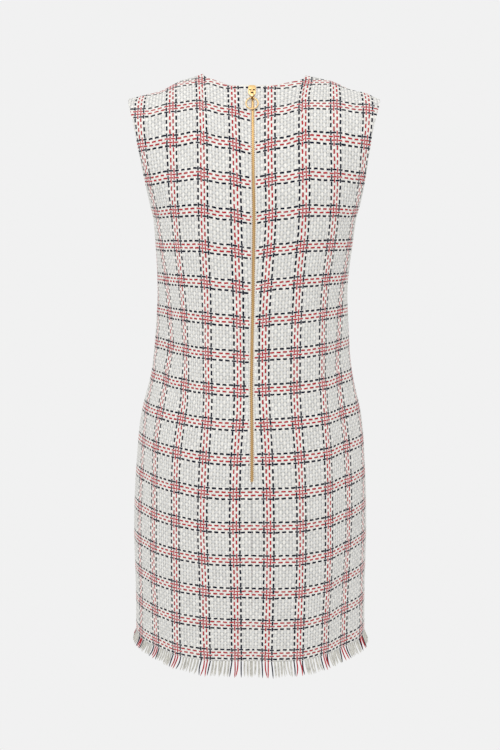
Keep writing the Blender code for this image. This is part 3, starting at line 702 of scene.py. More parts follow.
def yarn_height(calc, wave, crown, inside, coloured, crossing_coloured):
    """Height of a yarn's face where it passes over or under, far down outside its width."""
    swing = calc.times_plus(crossing_coloured, -0.25, 0.6)
    height = calc.times_plus(wave, swing, calc("MULTIPLY", crown, 0.4))
    # a thin hard yarn that dives under another is soon lost in the soft ones beside it
    dived = calc("MULTIPLY", coloured, calc("LESS_THAN", wave, -0.55))
    gone = calc("MAXIMUM", dived, calc("SUBTRACT", 1.0, inside))
    return calc("SUBTRACT", height, calc("MULTIPLY", gone, 3.0))


def tweed_finish(cloth):
    """Chunky cotton and wool tweed in plain weave: soft thick cream yarn, with thinner hard
    navy and red yarn in both directions. Matt, a little hairy, with painted shade between yarns."""
    made, tree, shader = new_material("cream_checked_tweed")
    calc = Calc(tree)
    threads = add_node(tree, "ShaderNodeUVMap", uv_map="threads").outputs[0]
    parts = add_node(tree, "ShaderNodeSeparateXYZ", {0: threads})
    u, v = parts.outputs[0], parts.outputs[1]
    turned = add_node(tree, "ShaderNodeAttribute", attribute_name="turned").outputs["Fac"]
    warp_off, warp_hard = place_in_repeat(calc, u)
    weft_off, weft_hard = place_in_repeat(calc, v)
    warp, warp_colour, warp_in, warp_crown = one_yarn_set(
        calc, cloth, u, v, cloth.warp_cream, warp_off, warp_hard, weft_hard
    )
    weft, weft_colour, weft_in, weft_crown = one_yarn_set(
        calc, cloth, v, u, cloth.weft_cream, weft_off, weft_hard, warp_hard
    )

    def wave(along, number, sign):
        phase = calc("SUBTRACT", calc("SUBTRACT", along, 0.5), number)
        return calc("MULTIPLY", calc("COSINE", calc("MULTIPLY", phase, math.pi)), sign)

    def of_upper(warp_value, weft_value):
        more = calc("SUBTRACT", warp_value, weft_value)
        return calc("ADD", weft_value, calc("MULTIPLY", warp_over, more))

    warp_wave, weft_wave = wave(v, warp, 1.0), wave(u, weft, -1.0)
    warp_height = yarn_height(calc, warp_wave, warp_crown, warp_in, warp_hard, weft_hard)
    weft_height = yarn_height(calc, weft_wave, weft_crown, weft_in, weft_hard, warp_hard)
    warp_over = calc("GREATER_THAN", warp_height, weft_height)
    top = calc("MAXIMUM", warp_height, weft_height)
    bare = calc("LESS_THAN", top, -1.2)
    top = calc("MAXIMUM", top, -0.6)
    by_hard = calc("MAXIMUM", warp_hard, weft_hard)

    # cream wefts fill out where they pass over the thin coloured yarns
    filled = calc("MULTIPLY", warp_hard, calc("SUBTRACT", 1.0, weft_hard))
    weft_colour = calc.mixed(filled, weft_colour, cloth.warp_cream)
    colour = calc.mixed(warp_over, weft_colour, warp_colour)
    colour = calc.mixed(bare, colour, cloth.ground)
    colour = calc.mixed(turned, colour, cloth.warp_cream)
    # each float has its own lightness, and fine hairs break up its face
    crossing = {0: calc.point(warp, weft)}
    floats = add_node(tree, "ShaderNodeTexWhiteNoise", crossing, noise_dimensions="2D")
    hairs = calc.noise(threads, 4.0, 3.0, "2D")
    rise, crown = of_upper(warp_wave, weft_wave), of_upper(warp_crown, weft_crown)
    # painted shade: the colour darkens where a yarn dives under, towards its sides and in the bare gaps
    # between yarns, less beside coloured yarns and not on the turned edge
    low = calc("ADD", calc.times_plus(rise, 0.16, 0.40), calc("MULTIPLY", crown, 0.55))
    painted_pit_shade = calc("MULTIPLY", bare, calc.times_plus(by_hard, 0.70, 0.30))
    low = calc("ADD", calc("MULTIPLY", low, calc("SUBTRACT", 1.0, bare)), painted_pit_shade)
    low = calc("MINIMUM", calc("MAXIMUM", low, calc("MULTIPLY", by_hard, 0.8)), 1.0)
    deep = calc("MULTIPLY", calc("SUBTRACT", 1.0, turned), cloth.depth)
    shade = calc("SUBTRACT", 1.0, calc("MULTIPLY", deep, calc("SUBTRACT", 1.0, low)))
    shade = calc("MULTIPLY", shade, calc.times_plus(floats.outputs[0], 0.14, 0.93))
    shade = calc("MULTIPLY", shade, calc.times_plus(hairs, 0.5, 0.75))
    tinted(tree, shader, colour, shade)
    height = calc.times_plus(top, 0.7, calc("MULTIPLY", hairs, 0.7))
    surfaced(tree, shader, height, 0.7, 0.0006, {**WOOLLY, "Sheen Roughness": 0.5})
    return made


def loose_yarn_finish(name, colour):
    """Yarn of the frayed edge, as in the cloth but open: matt, with streaks of fibre tone and
    painted shade between its plies."""
    made, tree, shader = new_material(name)
    calc = Calc(tree)
    place = add_node(tree, "ShaderNodeTexCoord").outputs["Object"]
    streak = add_node(tree, "ShaderNodeMapping", {"Vector": place, "Scale": (700, 700, 90)})
    hairs = calc.noise(streak.outputs[0], 1.0, 2.0)
    # the streaks are partly fibre tone and partly painted shade between the plies
    tinted(tree, shader, colour, calc.times_plus(hairs, 1.3, 0.36))
    surfaced(tree, shader, hairs, 0.5, 0.0003, WOOLLY)
    return made


def zip_metal_finish(name, colour, roughness):
    """Gold-coloured brass of the zip, polished, with fine rubbing marks."""
    made, tree, shader = new_material(name)
    calc = Calc(tree)
    place = add_node(tree, "ShaderNodeTexCoord").outputs["Object"]
    marks = calc.noise(place, 900.0, 3.0)
    rough = calc.times_plus(marks, 0.2, roughness - 0.1)
    tree.links.new(rough, shader.inputs["Roughness"])
    surfaced(tree, shader, marks, 0.15, 0.0001, {"Base Color": colour, "Metallic": 1.0})
    return made


def tape_finish(colour):
    """Cream cotton tape in a fine herringbone, drawn about twice its real size."""
    made, tree, shader = new_material("cream_zip_tape")
    calc = Calc(tree)
    place = add_node(tree, "ShaderNodeTexCoord").outputs["Object"]
    inputs = {"Vector": place, "Scale": 220.0}
    ribs = add_node(tree, "ShaderNodeTexWave", inputs, bands_direction="DIAGONAL").outputs[1]
    tinted(tree, shader, colour, calc.times_plus(ribs, 0.2, 0.85))
    surfaced(tree, shader, ribs, 0.4, 0.0002, {"Roughness": 0.9})
    return made


# ---------------------------------------------------------------- the woven panels
def panel(name, points, threads, facing, creases, finish, turned, seams, fine, cloth):
    """Closes a woven face into a wall, with a plainer inside."""
    normals = surface_normals(points, facing)
    rows, columns = points.shape[:2]
    u, v = threads[..., 0], threads[..., 1]
    level = (v - HEM_WEFT) * WEFT_SPACING
    soft = creased(points[..., 0], level, creases) * edge_fade(rows, columns, 8 * fine)
    raised = relief(u, v) * cloth.relief * edge_fade(rows, columns, 2.5 * fine)
    outer = points + normals * (raised * (1 - turned) + soft)[..., None]
    keep_rows = np.unique(np.append(np.arange(0, rows, fine), rows - 1))
    keep_columns = np.unique(np.append(np.arange(0, columns, fine), columns - 1))
    kept = np.ix_(keep_rows, keep_columns)
    inner = (points + normals * (soft - cloth.wall)[..., None])[kept]
    # square rims at the seams, so that neighbours meet without crossing
    for axis, reach in seams:
        rim = np.zeros(points.shape[:2], dtype=bool)
        rim[:, 0] = rim[:, -1] = rim[-1] = True
        rim = (rim & (np.abs(points[..., axis]) < reach))[kept]
        inner[..., axis][rim] = points[kept][..., axis][rim]
    bm = bmesh.new()
    grid(bm, outer)
    grid(bm, inner)
    bm.faces.ensure_lookup_table()
    first = bm.faces[0]
    first.normal_update()
    outside = (rows - 1) * (columns - 1)
    inwards = first.normal.dot(Vector(normals[0, 0])) < 0
    bmesh.ops.reverse_faces(bm, faces=bm.faces[:outside] if inwards else bm.faces[outside:])
    bmesh.ops.bridge_loops(bm, edges=[edge for edge in bm.edges if edge.is_boundary])
    mesh = bpy.data.meshes.new(name)
    bm.to_mesh(mesh)
    bm.free()
    counts = np.concatenate([threads.reshape(-1, 2), threads[kept].reshape(-1, 2)])
    corners = np.empty(len(mesh.loops), dtype=np.int32)
    mesh.loops.foreach_get("vertex_index", corners)
    layer = mesh.uv_layers.new(name="threads")
    layer.uv.foreach_set("vector", counts[corners].astype(np.float32).ravel())
    edge = mesh.attributes.new("turned", "FLOAT", "POINT")
    values = np.concatenate([turned.ravel(), turned[kept].ravel()])
    edge.data.foreach_set("value", values.astype(np.float32))
    mesh.shade_smooth()
    obj = link_object(mesh, name, finish)
    obj["face_points"] = rows * columns
    return obj


def make_back(side, name, finish, cloth):
    fine = cloth.back_fineness
    fixed = np.arange(4, 33 + 0.01, 1 / fine)
    dense = dense_half(side, True, zip_half_width, fixed, (4 * fine, 20 * fine))
    points, threads = woven_rows(dense, fine)
    points = placed(points, side, True)
    threads[..., 0] *= side  # warps are counted on across the centre back
    from_edge = np.linalg.norm(points - points[:, :1], axis=2)
    turned = 1 - ease_in((from_edge - cloth.turned_edge) / ZIP_TURN_BLUR)
    turned = turned * (points[..., 2] > ZIP_END)
    from_top = np.linalg.norm(points - points[-1:], axis=2)
    neck_edge = 1 - ease_in((from_top - cloth.turned_edge) / NECK_TURN_BLUR)
    turned = np.maximum(turned, neck_edge * (np.abs(points[..., 0]) < NECK_HALF_WIDTH / 2))
    seams = ((0, 0.006), (1, GAP))
    creases = [row for row in BACK_CREASES if row[0] * side > 0]
    return panel(name, points, threads, 1, creases, finish, turned, seams, fine, cloth)


def make_front(name, finish, cloth):
    fine = cloth.front_fineness
    fixed = np.arange(0, 29 + 0.01, 1 / fine)
    fans = (1, 19 * fine)
    right, left = (dense_half(side, False, lambda z: 0.0, fixed[1:], fans) for side in (-1, 1))
    (right_points, right_u, right_v), (left_points, left_u, left_v) = right, left
    points = np.concatenate([placed(right_points, -1)[:, :0:-1], placed(left_points, 1)], axis=1)
    counts = np.concatenate([-right_u[:, :0:-1], left_u], axis=1)
    wefts = np.concatenate([right_v[:, :0:-1], left_v], axis=1)
    points, threads = woven_rows((points, counts, wefts), fine)
    turned = np.zeros(points.shape[:2])
    seams = ((1, GAP),)
    return panel(name, points, threads, -1, FRONT_CREASES, finish, turned, seams, fine, cloth)


# ---------------------------------------------------------------- the zip
@functools.cache
def centre_line():
    """Points down the cloth's face at the centre back."""
    middle = np.array([0.0])
    line = [yoke_points(up, middle, True)[0] for up in np.linspace(1, 0, LINE_POINTS)]
    line += [lower_points(z, middle, True)[0] for z in np.linspace(UNDERARM, HEM, LINE_POINTS)[1:]]
    return np.array(line)


def centre_back(height):
    """A point on the cloth's face at the centre back, and its frame: out of the cloth and
    up along it."""
    line = centre_line()
    heights = np.array([height, height + EDGE_STEP])
    outs = np.interp(-heights, -line[:, 2], line[:, 1])
    point, above = (Vector((0.0, y, z)) for y, z in zip(outs, heights))
    up = (above - point).normalized()
    return point, Vector((0, up.z, -up.y)), up


def centre_frame(height, lift_off=0.0):
    """Matrix that puts x to the wearer's right, y up along the zip and z out of the cloth."""
    point, out, up = centre_back(height)
    made = Matrix((-Vector((1, 0, 0)), up, out)).transposed().to_4x4()
    made.translation = point + lift_off * out
    return made


def bowed(height):
    return float(smooth(BOW, 1, np.array([height]))[0])


def bevel(bm, edges, width, segments):
    bmesh.ops.bevel(
        bm, geom=edges, offset=width, segments=segments, profile=0.5, affect="EDGES", material=-1
    )


def rounded_box(bm, size, matrix, width, segments):
    """A box with bevelled edges, put in place by a matrix."""
    made = bmesh.ops.create_cube(bm, size=1, matrix=matrix @ Matrix.Diagonal((*size, 1)))["verts"]
    bevel(bm, list({edge for vertex in made for edge in vertex.link_edges}), width, segments)


def plate(size, foot, corner, rim, place):
    """A plate with rounded corners and rims, narrower at its foot, placed by a matrix."""
    bm = bmesh.new()
    made = bmesh.ops.create_cube(bm, size=1, matrix=Matrix.Diagonal((*size, 1)))["verts"]
    for vertex in made:
        if vertex.co.y < 0:
            vertex.co.x *= foot
    upright = [e for e in bm.edges if abs(e.verts[0].co.z - e.verts[1].co.z) > size[2] / 2]
    bevel(bm, upright, *corner)
    bevel(bm, [e for e in bm.edges if e.calc_face_angle() > SHARP_TURN], *rim)
    bm.transform(place)
    return bm


def object_from(bm, name, finishes, smooth_turn=35):
    mesh = bpy.data.meshes.new(name)
    bm.to_mesh(mesh)
    bm.free()
    mesh.shade_smooth()
    mesh.set_sharp_from_angle(angle=math.radians(smooth_turn))
    obj = link_object(mesh, name, finishes[0])
    for finish in finishes[1:]:
        mesh.materials.append(finish)
    return obj


def make_teeth(name, finish, nib_shade_finish, zip_):
    """Two rows of rounded metal teeth that lock into each other all the way down, with a
    raised nib on each tooth."""
    bm = bmesh.new()
    nibs = []
    top = (centre_frame(SLIDER_HEIGHT) @ Vector((0, POST_FOOT - 2 * GAP, 0))).z
    heights = np.arange(top, ZIP_END + 0.0008, -zip_.tooth_spacing)
    for k, height in enumerate(heights):
        half = float(zip_half_width(height)) - GAP / 4
        reach = half * TOOTH_REACH
        side = 1 if k % 2 else -1
        place = centre_frame(float(height), -zip_.tooth_height / 2 + zip_.tooth_proud)
        place.translation.x += bowed(height)
        size = Matrix.Diagonal((reach, zip_.tooth_length, zip_.tooth_height, 1))
        middle = Matrix.Translation((side * (half - reach / 2), 0, 0))
        bmesh.ops.create_cube(bm, size=1, matrix=place @ middle @ size)
        nib = Matrix.Diagonal((NIB_WIDTH, zip_.tooth_length, zip_.tooth_height + NIB_PROUD, 1))
        nibs.append(place @ nib)
    bevel(bm, bm.edges[:], 0.0003, 1)
    teeth = len(bm.faces)
    for nib in nibs:
        bmesh.ops.create_cube(bm, size=1, matrix=nib)
    bm.faces.ensure_lookup_table()
    # painted shade: the nibs take a brown brass, a dark line of shade down the middle of the locked
    # teeth
    for face in bm.faces[teeth:]:
        face.material_index = 1
    return object_from(bm, name, [finish, nib_shade_finish])


def make_cords(name, finish, top):
    """The corded edges of the two tapes, that the teeth are clamped to."""
    bm = bmesh.new()
    heights = np.linspace(top, ZIP_END, CORD_STEPS)
    for side in (1, -1):
        rows = []
        for height in heights:
            half = float(zip_half_width(height)) - GAP / 4
            place = centre_frame(float(height))
            place.translation.x += bowed(height)
            low, high = -CORD_THICKNESS - CORD_DEPTH, -CORD_DEPTH
            corners = ((CORD_INNER, high), (half, high), (half, low), (CORD_INNER, low))
            rows.append([bm.verts.new(place @ Vector((side * x, 0, z))) for x, z in corners])
        for above, below in zip(rows, rows[1:]):
            for k in range(4):
                bm.faces.new((above[k], above[k - 1], below[k - 1], below[k]))
        bm.faces.new(rows[0])
        bm.faces.new(rows[-1][::-1])
    bmesh.ops.recalc_face_normals(bm, faces=bm.faces)
    return object_from(bm, name, [finish])


def slider_mesh(zip_):
    """The slider: two plates with a post between, and a bridge that carries the tab."""
    parts = []
    under = -(WALL + TAPE_GAP + TAPE_THICKNESS + GAP + SLIDER_PLATE)
    for lift_off in (GAP, under):
        size = (SLIDER_WIDTH, SLIDER_LENGTH, SLIDER_PLATE)
        place = Matrix.Translation((0, -SLIDER_DOWN, lift_off + SLIDER_PLATE / 2))
        parts.append(plate(size, zip_.slider_foot, PLATE_CORNER, PLATE_RIM, place))
    bm = bmesh.new()
    depth = GAP - under
    size = (2 * POST_HALF_WIDTH, POST_HEAD - POST_FOOT, depth)
    middle = Matrix.Translation((0, (POST_FOOT + POST_HEAD) / 2, (GAP + under + SLIDER_PLATE) / 2))
    rounded_box(bm, size, middle, 0.0003, 2)
    place = Matrix.Translation((0, BRIDGE_PLACE, pin_height() - BRIDGE_UNDER_PIN))
    ring_mesh(bm, BRIDGE_RADIUS, BRIDGE_WIRE, place @ QUARTER_TURN, 28, 12)
    parts.append(bm)
    return parts


QUARTER_TURN = Matrix.Rotation(math.pi / 2, 4, "Y")


def ring_mesh(bm, radius, wire, matrix, around, across):
    """A closed ring of round wire: a circle spun about the ring's middle."""
    stand = Matrix.Translation((radius, 0, 0)) @ Matrix.Rotation(math.pi / 2, 4, "X")
    made = bmesh.ops.create_circle(bm, segments=across, radius=wire, matrix=stand)["verts"]
    before = set(bm.verts) - set(made)
    edges = list({edge for vertex in made for edge in vertex.link_edges})
    bmesh.ops.spin(
        bm, geom=made + edges, axis=(0, 0, 1), cent=(0, 0, 0), steps=around,
        angle=2 * math.pi, use_merge=True,
    )
    new = [vertex for vertex in bm.verts if vertex not in before]
    faces = list({face for vertex in new for face in vertex.link_faces})
    bmesh.ops.recalc_face_normals(bm, faces=faces)
    bmesh.ops.transform(bm, matrix=matrix, verts=new)


def pin_height():
    """The tab's hinge line over the cloth's face."""
    return GAP + SLIDER_PLATE + PIN_OVER_PLATE


def tab_hinge():
    return centre_frame(SLIDER_HEIGHT) @ Matrix.Translation((0, BRIDGE_PLACE, pin_height()))


def ring_hinge():
    return tab_hinge() @ Matrix.Translation((0, -TAB_LENGTH, 0))


def add_mesh(bm, other, matrix, index=0):
    """Adds another bmesh into this one, moved by a matrix, with a material index."""
    mesh = bpy.data.meshes.new("part")
    for face in other.faces:
        face.material_index = index
    other.transform(matrix)
    other.to_mesh(mesh)
    other.free()
    bm.from_mesh(mesh)
    bpy.data.meshes.remove(mesh)


def make_slider(name, finish, dark, zip_):
    bm = bmesh.new()
    place = centre_frame(SLIDER_HEIGHT)
    for part in slider_mesh(zip_):
        add_mesh(bm, part, place)
    # painted shade: two dark brass discs, barely proud of the plate beside the bridge, stand in for the
    # shade in two blind holes
    radius = zip_.eye_radius
    for across in (-EYE_ACROSS, EYE_ACROSS):
        eye = bmesh.new()
        bmesh.ops.create_cone(
            eye, cap_ends=True, segments=20, radius1=radius, radius2=radius, depth=EYE_DEPTH
        )
        spot = Matrix.Translation((across, EYE_UP, GAP + SLIDER_PLATE - EYE_SUNK))
        add_mesh(bm, eye, place @ spot, 1)
    return object_from(bm, name, [finish, dark])


def make_tab(name, finish, dark, barrel):
    """The tab that hangs from the bridge, with a barrel at its foot for the ring."""
    bm = bmesh.new()
    hinge = tab_hinge()
    head, foot = TAB_SHOULDER, -(TAB_LENGTH - BARREL_RADIUS)
    neck = bmesh.new()
    size = (2 * TAB_HEAD_HALF_WIDTH, TAB_BAR - TAB_SHOULDER + 0.001, TAB_THICKNESS)
    place = Matrix.Translation((0, (TAB_BAR + TAB_SHOULDER - 0.001) / 2, 0))
    rounded_box(neck, size, place, 0.0003, 2)
    add_mesh(bm, neck, hinge)
    size = (2 * TAB_HALF_WIDTH, head - foot, TAB_THICKNESS)
    place = Matrix.Translation((0, (head + foot) / 2, 0))
    add_mesh(bm, plate(size, TAB_FOOT, TAB_CORNER, TAB_RIM, place), hinge)
    # painted shade: the barrel takes the brown brass, standing in for the shade under the tab's foot
    ring = bmesh.new()
    middle, wall = (BARREL_RADIUS + BARREL_BORE) / 2, BARREL_RADIUS - BARREL_BORE
    ring_mesh(ring, middle, wall / 2, Matrix.Identity(4), 24, 10)
    stretch = Matrix.Diagonal((1, 1, 2 * BARREL_HALF_LENGTH / wall, 1))
    add_mesh(bm, ring, ring_hinge() @ QUARTER_TURN @ stretch, 2)
    # painted shade: a dark brass box standing just proud of the tab stands in for the shade seen
    # through its window
    window = bmesh.new()
    size = (WINDOW_WIDTH, WINDOW_LENGTH, TAB_THICKNESS + WINDOW_PROUD)
    rounded_box(window, size, Matrix.Translation((0, WINDOW_PLACE, 0)), 0.0004, 2)
    add_mesh(bm, window, hinge, 1)
    return object_from(bm, name, [finish, dark, barrel])


def make_pull_ring(name, finish):
    fall = math.asin((pin_height() - RING_LIFT) / (2 * RING_RADIUS))
    bm = bmesh.new()
    place = ring_hinge() @ Matrix.Rotation(fall, 4, "X") @ Matrix.Translation((0, -RING_RADIUS, 0))
    ring_mesh(bm, RING_RADIUS, RING_WIRE, place, 72, 16)
    return object_from(bm, name, [finish], 180)


# ---------------------------------------------------------------- the fringe
def strand_rings(path, radii):
    """Rings of points round a yarn's path, one row for each step along it."""
    along = np.gradient(path, axis=0)
    across = np.cross(along, np.array([0.3, 1.0, 0.1]))
    across /= np.linalg.norm(across, axis=1)[:, None]
    third = np.cross(along, across)
    third /= np.linalg.norm(third, axis=1)[:, None]
    turn = (2 * math.pi * np.arange(FRINGE_SIDES + 1) / FRINGE_SIDES)[:, None, None]
    round_ = np.cos(turn) * across + np.sin(turn) * third
    round_[-1] = round_[0]
    return (path + radii[:, None] * round_).transpose(1, 0, 2)


def strands_mesh(strands):
    """Closes many strands, each a table of rings, in one mesh. kinds gives their finish."""
    bm = bmesh.new()
    width = FRINGE_SIDES + 1
    points = np.concatenate([rings for rings, kind in strands], axis=1)
    grid(bm, points)
    between = []
    bm.faces.ensure_lookup_table()
    for face in bm.faces:
        columns = [face_vertex.index % points.shape[1] for face_vertex in face.verts]
        first, last = min(columns), max(columns)
        if first // width != last // width:
            between.append(face)
        else:
            face.material_index = strands[first // width][1]
    bmesh.ops.delete(bm, geom=between, context="FACES_ONLY")
    loose = [edge for edge in bm.edges if not edge.link_faces]
    bmesh.ops.delete(bm, geom=loose, context="EDGES")
    bmesh.ops.remove_doubles(bm, verts=bm.verts, dist=1e-6)
    bmesh.ops.holes_fill(bm, edges=[e for e in bm.edges if e.is_boundary], sides=FRINGE_SIDES)
    bmesh.ops.recalc_face_normals(bm, faces=bm.faces)
    return bm


def make_fringe(name, edge, counts, outs, finishes, chance, fringe):
    """Loose warp yarns under a piece's hem: each cream one opens into a few plies, and each
    coloured one hangs as one curved strand. Kind 0 is cream, 1 is red and 2 is navy."""
    strands = []
    low, high = math.ceil(counts.min() - 0.5), math.floor(counts.max() - 0.5)
    order = np.argsort(counts)
    for number in range(low, high + 1):
        repeat = number % REPEAT
        kind = {3: 2, 6: 2, 4: 1, 5: 1}.get(repeat, 0)
        lean = chance.gauss(0, fringe.lean * (1.3 if kind else 0.6))
        curl = chance.gauss(0, fringe.curl * (1.4 if kind else 0.6))
        plies = 1 if kind else fringe.plies
        for ply in range(plies):
            at = number + 0.5 + (ply - (plies - 1) / 2) * PLY_SPACING + chance.gauss(0, PLY_SHIFT)
            at = min(max(at, counts.min()), counts.max())
            root = np.array([np.interp(at, counts[order], edge[order, n]) for n in range(3)])
            out = np.array([np.interp(at, counts[order], outs[order, n]) for n in range(3)])
            side = np.cross(out, np.array([0.0, 0.0, 1.0]))
            length = fringe.length - abs(chance.gauss(0, fringe.uneven)) + (0.001 if kind else 0)
            sideways = root[0] / SECTIONS[0, HALF_WIDTH]
            shorter = fringe.left_shorter if root[0] > 0 else fringe.right_shorter
            length *= 1 - abs(sideways) ** 1.5 * shorter
            t = np.linspace(0, 1, FRINGE_STEPS + 1)
            own = chance.gauss(0, 0.35 * fringe.lean)
            outward = fringe.outward * sideways * side[0]
            aside = (lean + own + outward) * t**1.5 + curl * np.sin(t * math.pi * 1.3) * t
            away = -0.5 * WALL + fringe.splay * t**1.5 + chance.gauss(0, 0.0006) * t
            path = root + out * away[:, None] + side * aside[:, None]
            path[:, 2] += FRINGE_TUCK * (1 - t) - length * t
            thick = fringe.hard_radius if kind else fringe.soft_radius
            radii = thick * np.interp(t, (0, 0.5, 0.85, 1), (0.9, 1.0, 0.8, 0.2))
            strands.append((strand_rings(path, radii), kind))
    return object_from(strands_mesh(strands), name, finishes, 60)


# ---------------------------------------------------------------- settings
def colour(code, name, text):
    kept = {"subtype": "COLOR", "size": 4, "min": 0, "max": 1}
    return FloatVectorProperty(name=name, description=text, default=linear(code), **kept)


def number(value, name, text, **kept):
    kept.setdefault("min", 0)
    return FloatProperty(name=name, description=text, default=value, **kept)


def length(value, name, text):
    return number(value, name, text, unit="LENGTH", precision=5)


def share(value, name, text):
    return number(value, name, text, max=2, subtype="FACTOR")


def whole(value, name, text, **kept):
    return IntProperty(name=name, description=text, default=value, **kept)


class DressCloth(bpy.types.PropertyGroup):
    wall: length(WALL, "Thickness", "Thickness of the tweed")
    relief: length(0.0004, "Relief", "How far a yarn's float stands over the cloth's middle")
    turned_edge: length(0.0008, "Zip edge", "Plain turned edge along the zip")
    back_fineness: whole(3, "Back fineness", "Faces across a yarn of the back", min=1, max=4)
    front_fineness: whole(2, "Front fineness", "Faces across a yarn of the front", min=1, max=4)
    soft_width: share(0.72, "Cream yarn", "Width of a cream yarn in its space")
    red_width: share(0.47, "Red yarn", "Width of a red yarn in its space")
    navy_width: share(0.56, "Navy yarn", "Width of a navy yarn in its space")
    thinning: share(0.12, "Thinning", "How much thinner coloured yarns are where they cross")
    # depth sets the strength of the shade painted into the hollows between yarns
    depth: share(0.62, "Depth", "How dark the hollows between yarns are")
    warp_cream: colour("#ECEAE4", "Cream warp", "Soft yarn that runs up the dress")
    weft_cream: colour("#D8D8D6", "Cream weft", "Soft yarn that runs round the dress")
    red: colour("#B52530", "Red", "Hard red yarn")
    navy: colour("#0F162B", "Navy", "Hard navy yarn")
    ground: colour("#E9E8E4", "Hollows", "Yarn seen deep between the others")


class DressZip(bpy.types.PropertyGroup):
    tooth_spacing: length(0.00145, "Tooth spacing", "From one tooth to the next of the other row")
    tooth_length: length(0.0012, "Tooth length", "Length of a tooth along the zip")
    tooth_height: length(0.0024, "Tooth height", "Thickness of the locked teeth")
    tooth_proud: length(0.0003, "Teeth over the cloth", "How far the teeth stand over the cloth's face")
    slider_foot: share(0.90, "Slider's foot", "Width of the slider's foot over its head's")
    # the slider's holes are dark discs of painted shade, not cut holes
    eye_radius: length(0.0015, "Slider's holes", "Radius of the small blind holes of the slider")
    gold: colour("#EDC88C", "Gold", "Slider, tab and ring")
    teeth_gold: colour("#E0B978", "Teeth", "Teeth of the zip")
    # painted shade: a brown brass for the nibs down the chain's middle and the tab's barrel
    nib_shade_gold: colour("#6E420F", "Nibs", "Nibs in the middle of the locked teeth, and the tab's barrel")
    # painted shade: a near-black brass for the slider's two holes and the tab's window
    painted_shade_gold: colour("#1C1106", "Hollows", "Brass in the shade of small holes")
    tape: colour("#EDE8DC", "Tape", "Tape inside the dress")


class DressFringe(bpy.types.PropertyGroup):
    length: length(0.0250, "Length", "Length of the longest loose yarns")
    uneven: length(0.0020, "Unevenness", "How much shorter a loose yarn may be")
    lean: length(0.0014, "Lean", "How far a yarn's tip leans to a side")
    curl: length(0.0008, "Curl", "How far a yarn bends on its way")
    outward: length(0.0060, "Outward lean", "How far tips near the sides lean out to them")
    splay: length(0.0065, "Splay", "How far the tips stand out from the dress")
    plies: whole(2, "Plies", "Strands that a cream yarn opens into", min=1, max=5)
    left_shorter: share(0.40, "Shorter on the left", "Share lost at the wearer's left seam")
    right_shorter: share(0.22, "Shorter on the right", "Share lost at the wearer's right seam")
    soft_radius: length(0.00095, "Cream strand", "Radius of a strand of cream yarn")
    hard_radius: length(0.00105, "Coloured strand", "Radius of a strand of coloured yarn")
    # painted shade: the loose cream is a darker, greyer copy of the cloth's cream, for the shade among
    # the strands
    cream: colour("#CBC9C1", "Cream", "Open cream yarn")
    seed: whole(4, "Seed", "Picks how the yarns lie")


class DressStudio(bpy.types.PropertyGroup):
    paper: colour("#F1F1F1", "Paper", "Floor and background")
    light: number(1.0, "Room light", "Strength of the even light all round")
    key: number(16.2, "Key lamp", "Power of the large lamp", unit="POWER")
    fill: number(10.7, "Fill lamp", "Power of the second lamp", unit="POWER")
    floor_height: number(-1.35, "Floor", "Height of the floor", min=-10, unit="LENGTH")


# ---------------------------------------------------------------- operators
def cloth_finish(cloth):
    """The tweed, made once and shared by the pieces cut from it."""
    return bpy.data.materials.get("cream_checked_tweed") or tweed_finish(cloth)


class DRESS_OT_back(bpy.types.Operator):
    """Weaves the left and right back pieces"""

    bl_idname = "dress.weave_back"
    bl_label = "Weave the back"

    def execute(self, context):
        cloth = context.scene.dress_cloth
        for side, node in ((1, "back_left"), (-1, "back_right")):
            piece = make_back(side, node + "_tweed", cloth_finish(cloth), cloth)
            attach(piece, BODY)
            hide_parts(node)
        return {"FINISHED"}


class DRESS_OT_front(bpy.types.Operator):
    """Weaves the front piece"""

    bl_idname = "dress.weave_front"
    bl_label = "Weave the front"

    def execute(self, context):
        cloth = context.scene.dress_cloth
        piece = make_front("front_tweed", cloth_finish(cloth), cloth)
        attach(piece, BODY)
        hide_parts("front")
        return {"FINISHED"}


class DRESS_OT_zip(bpy.types.Operator):
    """Makes the zip's teeth, slider, tab and pull ring, and dresses its tapes"""

    bl_idname = "dress.make_zip"
    bl_label = "Make the zip"

    def execute(self, context):
        zip_ = context.scene.dress_zip
        gold = zip_metal_finish("polished_gold_brass", zip_.gold, 0.28)
        teeth = zip_metal_finish("gold_zip_teeth", zip_.teeth_gold, 0.38)
        # the dark and the brown brasses are painted shade, in the small holes, down the chain's middle
        # and under the tab
        dark = zip_metal_finish("shaded_brass", zip_.painted_shade_gold, 0.6)
        nibs = zip_metal_finish("painted_shade_nib_brass", zip_.nib_shade_gold, 0.45)
        pieces = (
            (make_teeth("zip_teeth", teeth, nibs, zip_), BODY, "zip_chain"),
            (make_slider("slider", gold, dark, zip_), BODY, "zip_slider"),
            (make_tab("tab_plate", gold, dark, nibs), "tab", "pull_tab"),
            (make_pull_ring("ring_wire", gold), "ring", "pull_ring"),
        )
        for piece, body, node in pieces:
            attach(piece, body)
            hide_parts(node)
        tape = tape_finish(zip_.tape)
        cords = make_cords("tape_cords", tape, bpy.data.objects["zip_teeth"].bound_box[1][2])
        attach(cords, BODY)
        for node in ("zip_tape_left", "zip_tape_right"):
            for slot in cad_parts[node].material_slots:
                slot.material = tape
        return {"FINISHED"}


